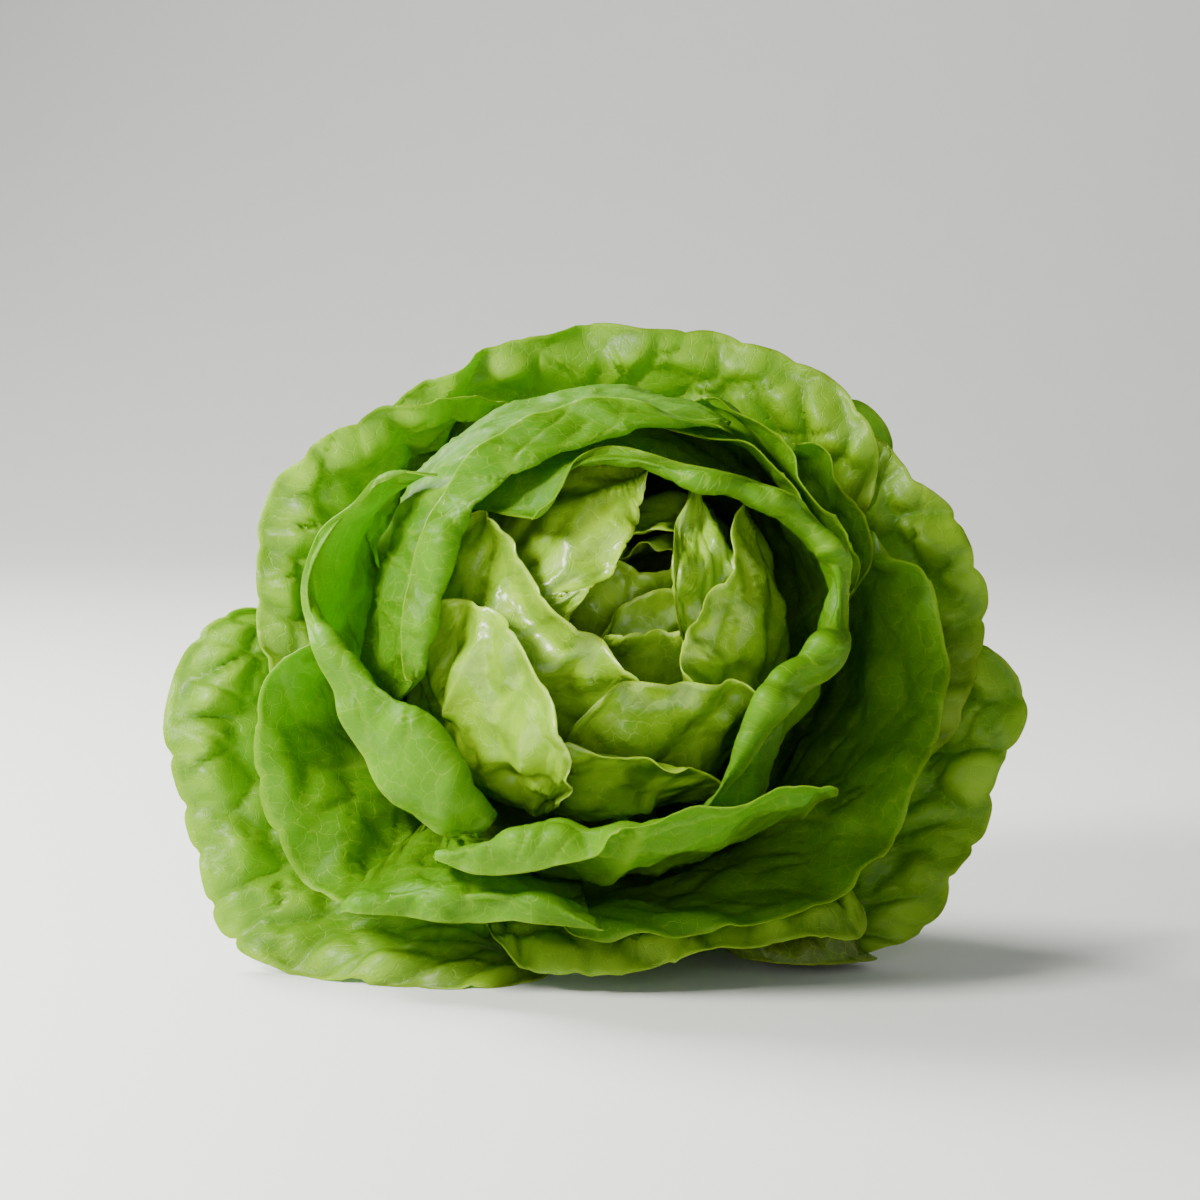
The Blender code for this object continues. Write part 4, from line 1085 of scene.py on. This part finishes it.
frontLeaf = dict(
    name="front_leaf",
    margin=(
        (-39, 31, -61), (-32, 28.5, -65), (-21, 28.5, -68), (-9, 31, -72), (2, 35.5, -75), (10, 41, -76),
        (18, 44, -76), (27, 46.5, -75), (36, 48, -73), (45, 49.5, -69), (54, 52.5, -64), (61, 52, -59),
    ),
    fold=(
        (-40, 36.5, -50), (-32, 41.5, -56), (-24, 44, -60), (-13.5, 44.5, -62), (-5, 42, -63),
        (4, 39.5, -64), (11, 38, -64), (20, 39.5, -63), (30, 42, -61), (40, 43.5, -58), (50, 46.5, -53),
        (60, 47, -47),
    ),
    ball=76, edge=-30, way=268, grip=90, back=48, ahead=5, belly=66, low=12, cells=(13, 11),
    look=middleLook, toneAndLightTint=0.3,
)
placeLeaf(frontLeaf)

rollLeaf = dict(
    name="roll_leaf",
    margin=(
        (-64, 19.5, -44), (-57.5, 18, -48), (-50, 17.5, -52), (-42, 17, -55), (-33, 15.5, -58),
        (-21, 16.5, -61), (-10, 15, -62), (-2, 13, -62), (4, 13, -61),
    ),
    fold=(
        (-66, 21, -37), (-58, 25, -41), (-50, 27, -45), (-42, 28, -49), (-34, 27.5, -52), (-24, 27, -55),
        (-16, 26, -57), (-8, 23, -58), (2, 16.5, -57),
    ),
    ball=84, edge=-36, way=256, grip=64, back=49.5, ahead=3, belly=68, low=10, cells=(11, 10),
    look=middleLook,
)
placeLeaf(rollLeaf)

cuppedLeafLeft = dict(
    name="cupped_leaf_left",
    margin=(
        (-68, 90, -20), (-72, 87, -22), (-77, 84, -23), (-82, 76, -23), (-85, 67, -23), (-85, 55, -24),
        (-83, 45, -26), (-80, 38, -28), (-74, 32, -31), (-68, 26, -35), (-60, 18, -40),
    ),
    ball=80, edge=-24, way=215, grip=80, back=51, ahead=2, belly=69.5, low=9, cells=(10, 9),
    look=middleLook,
)
placeLeaf(cuppedLeafLeft)

bigLeafRight = dict(
    name="big_leaf_right",
    margin=(
        (65, 119, -9), (70, 116, -10), (78, 110, -11), (84, 100, -12), (89, 88, -13), (91, 78, -14),
        (89, 67, -16), (85, 57, -19), (80, 47, -23), (75, 37, -28), (68, 29, -34), (60, 24, -39),
        (50, 19, -44), (40, 16, -48), (20, 13.5, -53), (8, 11, -55), (0, 10, -55), (-8, 8, -54),
    ),
    ball=80, edge=-20, way=325, grip=95, back=52.5, ahead=1, belly=70.5, low=7, cells=(14, 10),
    look=middleLook, toneAndLightTint=-0.1,
)
placeLeaf(bigLeafRight)

outerLeafUpperLeft = dict(
    name="outer_leaf_upper_left",
    margin=(
        (-76, 58, -2), (-83, 78, 2), (-85, 95, 5), (-85, 110, 7), (-83, 122, 8), (-79, 131, 8),
        (-74, 137, 8), (-65, 140, 7), (-60, 141, 6), (-52, 147, 5), (-42, 149, 5), (-33, 148, 7),
        (-24, 145.5, 13), (-16, 143, 20),
    ),
    ball=80, edge=-12, way=150, grip=95, back=54, ahead=0, belly=71.5, low=7, cells=(12, 10),
    look=outerLook,
)
placeLeaf(outerLeafUpperLeft)

outerLeafTop = dict(
    name="outer_leaf_top",
    margin=(
        (-56, 139, 20), (-48, 149, 24), (-38, 156, 28), (-28, 162, 31), (-18, 163, 33), (-10, 166, 34),
        (0, 168, 35), (7, 168.5, 35), (14, 168, 35), (27, 166, 33), (33, 164, 32), (40, 162.5, 30),
        (50, 159, 27), (60, 153, 23), (67, 148, 19), (74, 139, 15), (79, 128, 12),
    ),
    ball=84, edge=-8, way=88, grip=95, back=55.5, ahead=0, belly=73, low=7, cells=(12, 10),
    look=outerLook, toneAndLightTint=0.25,
)
placeLeaf(outerLeafTop)

outerLeafUpperRight = dict(
    name="outer_leaf_upper_right",
    margin=(
        (62, 145, 27), (69, 143, 23), (74, 138, 20), (79, 131, 16), (86, 126, 13), (92, 118, 10),
        (96, 110, 8), (99, 103, 6), (99, 95, 5), (98, 88, 3), (96, 80, 1), (94, 73, -1), (91, 64, -2),
        (87, 54, -4),
    ),
    ball=84, edge=-4, way=10, grip=95, back=57, ahead=0, belly=74, low=6, cells=(11, 10),
    look=outerLook, toneAndLightTint=-0.25,
)
placeLeaf(outerLeafUpperRight)

bottomLeaf = dict(
    name="bottom_leaf",
    margin=(
        (-27, 9, -44), (-23, 8, -45), (-18, 6.5, -46), (-10, 4, -48), (0, 4, -50), (10, 7, -51),
        (20, 10, -51), (40, 14, -48), (50, 15, -46), (60, 14, -43), (70, 16, -38), (78, 20, -30),
    ),
    ball=84, edge=-4, way=285, grip=90, back=56.6, ahead=0, belly=75.5, low=3.0, cells=(11, 10),
    look=outerLook,
)
placeLeaf(bottomLeaf)

underLeafRight = dict(
    name="under_leaf_right",
    margin=((42, 3, -27), (52, 2.5, -28), (60, 5, -28), (68, 7.5, -26), (73, 6, -22), (77, 4, -16)),
    ball=84, edge=10, way=300, grip=80, back=59.8, ahead=0, belly=77.5, low=2.8, cells=(8, 8),
    look=shadedOliveLook,
)
placeLeaf(underLeafRight)

blisteredLeafLeft = dict(
    name="blistered_leaf_left",
    margin=(
        (-80, 100, 14), (-87, 99, 10), (-93, 97, 6), (-99, 92, 2), (-104, 85, -3), (-107, 75, -7),
        (-110, 64, -10), (-107, 55, -12), (-103, 44, -13), (-101.5, 34, -14), (-99, 22, -16),
        (-95, 14, -19), (-89, 8, -23), (-80, 4.5, -28), (-70, 2.6, -33), (-58, 1.2, -38), (-45, 0.5, -42),
        (-30, 0.3, -44), (-20, 0.3, -43), (-10, 0.5, -40),
    ),
    ball=84, edge=-4, way=222, grip=100, back=62, ahead=0, belly=80, low=0, sag=13, cells=(14, 10),
    look=outerLook, toneAndLightTint=0.1,
)
placeLeaf(blisteredLeafLeft)

outerLeafLowerRight = dict(
    name="outer_leaf_lower_right",
    margin=(
        (92, 93, 13), (98, 91, 10), (104, 84, 6), (109, 77, 2), (110, 71, 0), (107, 63, -2), (101, 56, -4),
        (100, 45, -6), (96, 35, -8), (91, 27, -10), (88, 20, -12), (80, 13, -14), (73, 8, -14),
        (66, 4, -12),
    ),
    ball=84, edge=-4, way=335, grip=95, back=63.3, ahead=0, belly=81, low=0, sag=17, cells=(12, 10),
    look=outerLook, toneAndLightTint=-0.45,
)
placeLeaf(outerLeafLowerRight)

backLeafTip = dict(
    name="back_leaf_tip",
    margin=(
        (58, 150, 34), (62, 151, 33), (66, 150, 32), (70, 147, 31), (73, 142, 30), (75, 134, 29),
        (74, 124, 29),
    ),
    ball=84, edge=10, way=66, grip=64, back=61.5, ahead=0, belly=78, low=6, cells=(8, 8),
    look=outerLook,
)
placeLeaf(backLeafTip)


# The stem as it is grown and coloured: its sides and rings, the ridges, lumps and dished butt
# in mm, and its pale streaked flesh with a browned cut
stemLook = dict(
    sides=160, rings=120, lastRing=0.6, ridges=9, ridgeHeight=0.35, ridgeTwist=0.05,
    lumpSize=5.0, lumpHeight=0.30, seamFade=4.0, lumpSeed=3,
    buttRings=(0.9, 0.75, 0.55, 0.3, 0.12), buttDish=0.9, buttRough=0.12, buttGrain=(6, 9), buttSeed=8,
    pale=(0.72, 0.74, 0.44, 1), cream=(0.80, 0.78, 0.58, 1), brown=(0.36, 0.20, 0.08, 1),
    streak=(160.0, 4.0), cloud=(45.0, 3.0), brownGain=0.9, brownLeast=0.15, streakGloss=0.3, gloss=0.35,
    bumpStrength=0.6, bumpDepth=0.4,
)


def stemSkin():
    material = bpy.data.materials.new("stem_skin")
    material.use_nodes = True
    tree = material.node_tree
    shader = tree.nodes["Principled BSDF"]
    place = addNode(tree, "ShaderNodeTexCoord").outputs["Object"]
    streak = noiseOver(tree, place, *stemLook["streak"]).outputs["Fac"]
    cloud = noiseOver(tree, place, *stemLook["cloud"]).outputs["Fac"]
    brown = mathStep(tree, "MULTIPLY_ADD", streak, stemLook["brownGain"], stemLook["brownLeast"])
    brown = mathStep(tree, "MULTIPLY", markOf(tree, "butt"), brown)
    colour = blendColours(tree, cloud, stemLook["pale"], stemLook["cream"])
    colour = blendColours(tree, brown, colour, stemLook["brown"])
    gloss = mathStep(tree, "MULTIPLY_ADD", streak, stemLook["streakGloss"], stemLook["gloss"])
    plug(tree, colour, shader.inputs["Base Color"])
    plug(tree, gloss, shader.inputs["Roughness"])
    bump = bumpOver(tree, streak, stemLook["bumpStrength"], stemLook["bumpDepth"])
    plug(tree, bump, shader.inputs["Normal"])
    return material


def growStem():
    sides = stemLook["sides"]
    origin = head["centre"] - shift
    backs, radii = np.array(stem["profile"]).T
    places = np.append(np.linspace(backs[0], backs[-1] - stemLook["lastRing"], stemLook["rings"]), backs[-1])
    turns = np.linspace(0.0, 2 * math.pi, sides, endpoint=False)
    spread = np.cos(turns)[:, None] * axisSide + np.sin(turns)[:, None] * axisTop
    seam = np.minimum(1.0, np.minimum(turns, 2 * math.pi - turns) * stemLook["seamFade"])
    rings = []
    for back, size in zip(places, np.interp(places, backs, radii)):
        ridge = stemLook["ridgeHeight"] * np.sin(stemLook["ridges"] * turns + stemLook["ridgeTwist"] * back)
        lump = swell(turns * size, np.full(sides, back), stemLook["lumpSize"], stemLook["lumpSeed"])
        lump = stemLook["lumpHeight"] * lump * seam
        share = min(1.0, size / stem["radius"])
        edge = size - stemLook["ridgeHeight"] - stemLook["lumpHeight"] + share * (ridge + lump)
        rings.append(origin - back * axisFront + edge[:, None] * spread)
    around, inward = stemLook["buttGrain"]
    for share in stemLook["buttRings"]:  # the cut butt, a little dished
        dish = stemLook["buttDish"] * (1 - share**2)
        rough = swell(turns * around, np.full(sides, share * inward), 1.0, stemLook["buttSeed"])
        middle = origin - (backs[-1] - dish) * axisFront
        rings.append(middle + radii[-1] * share * spread - stemLook["buttRough"] * rough[:, None] * axisFront)
    corners = np.concatenate(rings)
    tip = len(corners)
    ends = [origin - (backs[0] - stem["tip"]) * axisFront]
    ends.append(origin - (backs[-1] - stemLook["buttDish"]) * axisFront)
    corners = np.concatenate((corners, ends))
    faces = []
    for r in range(len(rings) - 1):
        for c in range(sides):
            a, b = r * sides + c, r * sides + (c + 1) % sides
            faces.append((a, b, b + sides, a + sides))
    last = (len(rings) - 1) * sides
    for c in range(sides):
        d = (c + 1) % sides
        faces += [(tip, d, c), (tip + 1, last + c, last + d)]
    mesh = bpy.data.meshes.new("stem_core")
    mesh.from_pydata((corners * mm).tolist(), [], faces)
    mesh.shade_smooth()
    butt = np.zeros(len(corners))
    butt[len(places) * sides :] = 1.0
    butt[tip] = 0.0
    writeMark(mesh, "butt", butt)
    mesh.materials.append(stemSkin())
    piece = bpy.data.objects.new("stem_core", mesh)
    bpy.context.collection.objects.link(piece)
    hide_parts(stem["name"])
    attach(piece, "root")


growStem()
print("grew the stem")

total = 0
for number, leaf in enumerate(placed["leaves"]):
    triangles = growBlade(leaf, fine["firstSeed"] + fine["seedStep"] * number)
    total += triangles
    print(f"grew {leaf['name']}, {triangles} triangles")
print(f"grew {len(placed['leaves'])} leaves, {total} triangles")

# The floor and the wall behind it are one pale sheet with a soft bend, in metres
studio = dict(
    width=3.0, front=-1.4, bend=0.9, radius=0.5, bendSteps=12, high=1.9, colour=(0.80, 0.80, 0.78, 1.0),
    fleck=(60.0, 3.0), fleckShade=0.97, roughness=0.6, worldColour=(0.95, 0.97, 1.0, 1.0), world=0.17,
)


def studioSheet():
    line = [(studio["front"], 0.0), (studio["bend"], 0.0)]
    for step in range(1, studio["bendSteps"] + 1):
        turn = math.pi / 2 * step / studio["bendSteps"]
        back = studio["bend"] + studio["radius"] * math.sin(turn)
        line.append((back, studio["radius"] * (1 - math.cos(turn))))
    line.append((studio["bend"] + studio["radius"], studio["high"]))
    half = studio["width"] / 2
    corners = [(side, y, z) for y, z in line for side in (-half, half)]
    faces = [(2 * i, 2 * i + 1, 2 * i + 3, 2 * i + 2) for i in range(len(line) - 1)]
    mesh = bpy.data.meshes.new("studio_sheet")
    mesh.from_pydata(corners, [], faces)
    mesh.shade_smooth()
    material = bpy.data.materials.new("studio_paper")
    material.use_nodes = True
    tree = material.node_tree
    shader = tree.nodes["Principled BSDF"]
    place = addNode(tree, "ShaderNodeTexCoord").outputs["Object"]
    fleck = noiseOver(tree, place, *studio["fleck"]).outputs["Fac"]
    soft = tuple(studio["fleckShade"] * value for value in studio["colour"][:3]) + (1.0,)
    plug(tree, blendColours(tree, fleck, studio["colour"], soft), shader.inputs["Base Color"])
    shader.inputs["Roughness"].default_value = studio["roughness"]
    mesh.materials.append(material)
    sheet = bpy.data.objects.new("studio_sheet", mesh)
    bpy.context.collection.objects.link(sheet)


studioSheet()

world = bpy.data.worlds.new("soft_room")
bpy.context.scene.world = world
world.use_nodes = True
world.node_tree.nodes["Background"].inputs["Color"].default_value = studio["worldColour"]
world.node_tree.nodes["Background"].inputs["Strength"].default_value = studio["world"]

# Soft boxes, all turned to the middle of the head: where each hangs and its size in metres,
# its power in watts and its colour
lightTarget = Vector((0.0, 0.0, 0.08))
lights = dict(
    key=dict(at=(-0.58, -0.38, 0.54), size=0.23, power=16.5, colour=(1.0, 0.98, 0.94)),
    back=dict(at=(-0.60, 0.40, 0.70), size=0.42, power=26.0, colour=(1.0, 1.0, 0.97)),
    front=dict(at=(-0.10, -1.10, 0.12), size=0.80, power=4.8, colour=(1.0, 0.99, 0.96)),
    side=dict(at=(0.85, -0.35, 0.40), size=0.60, power=0.8, colour=(0.95, 0.98, 1.0)),
)
for name, light in lights.items():
    lamp = bpy.data.lights.new(name + "_light", "AREA")
    lamp.shape = "SQUARE"
    lamp.size = light["size"]
    lamp.energy = light["power"]
    lamp.color = light["colour"]
    piece = bpy.data.objects.new(name + "_light", lamp)
    piece.location = light["at"]
    piece.rotation_euler = (lightTarget - piece.location).to_track_quat("-Z", "Y").to_euler()
    bpy.context.collection.objects.link(piece)

# The camera stands where the head's front view has it and takes in 305 mm at the head
camera = dict(view=304.8, film=36.0, nearest=0.05)
lens = bpy.data.cameras.new("front_camera")
lens.sensor_width = camera["film"]
lens.lens = camera["film"] * head["viewDistance"] / camera["view"]
lens.clip_start = camera["nearest"]
eye = bpy.data.objects.new("front_camera", lens)
target = Vector((head["viewCentre"][0] * mm, 0.0, head["viewTarget"] * mm))
away = Vector((0, -math.cos(head["viewRise"]), math.sin(head["viewRise"])))
eye.location = target + away * (head["viewDistance"] * mm)
eye.rotation_euler = (target - eye.location).to_track_quat("-Z", "Y").to_euler()
bpy.context.collection.objects.link(eye)
bpy.context.scene.camera = eye
print("set the floor, the lights and the camera")

bpy.context.view_layer.update()
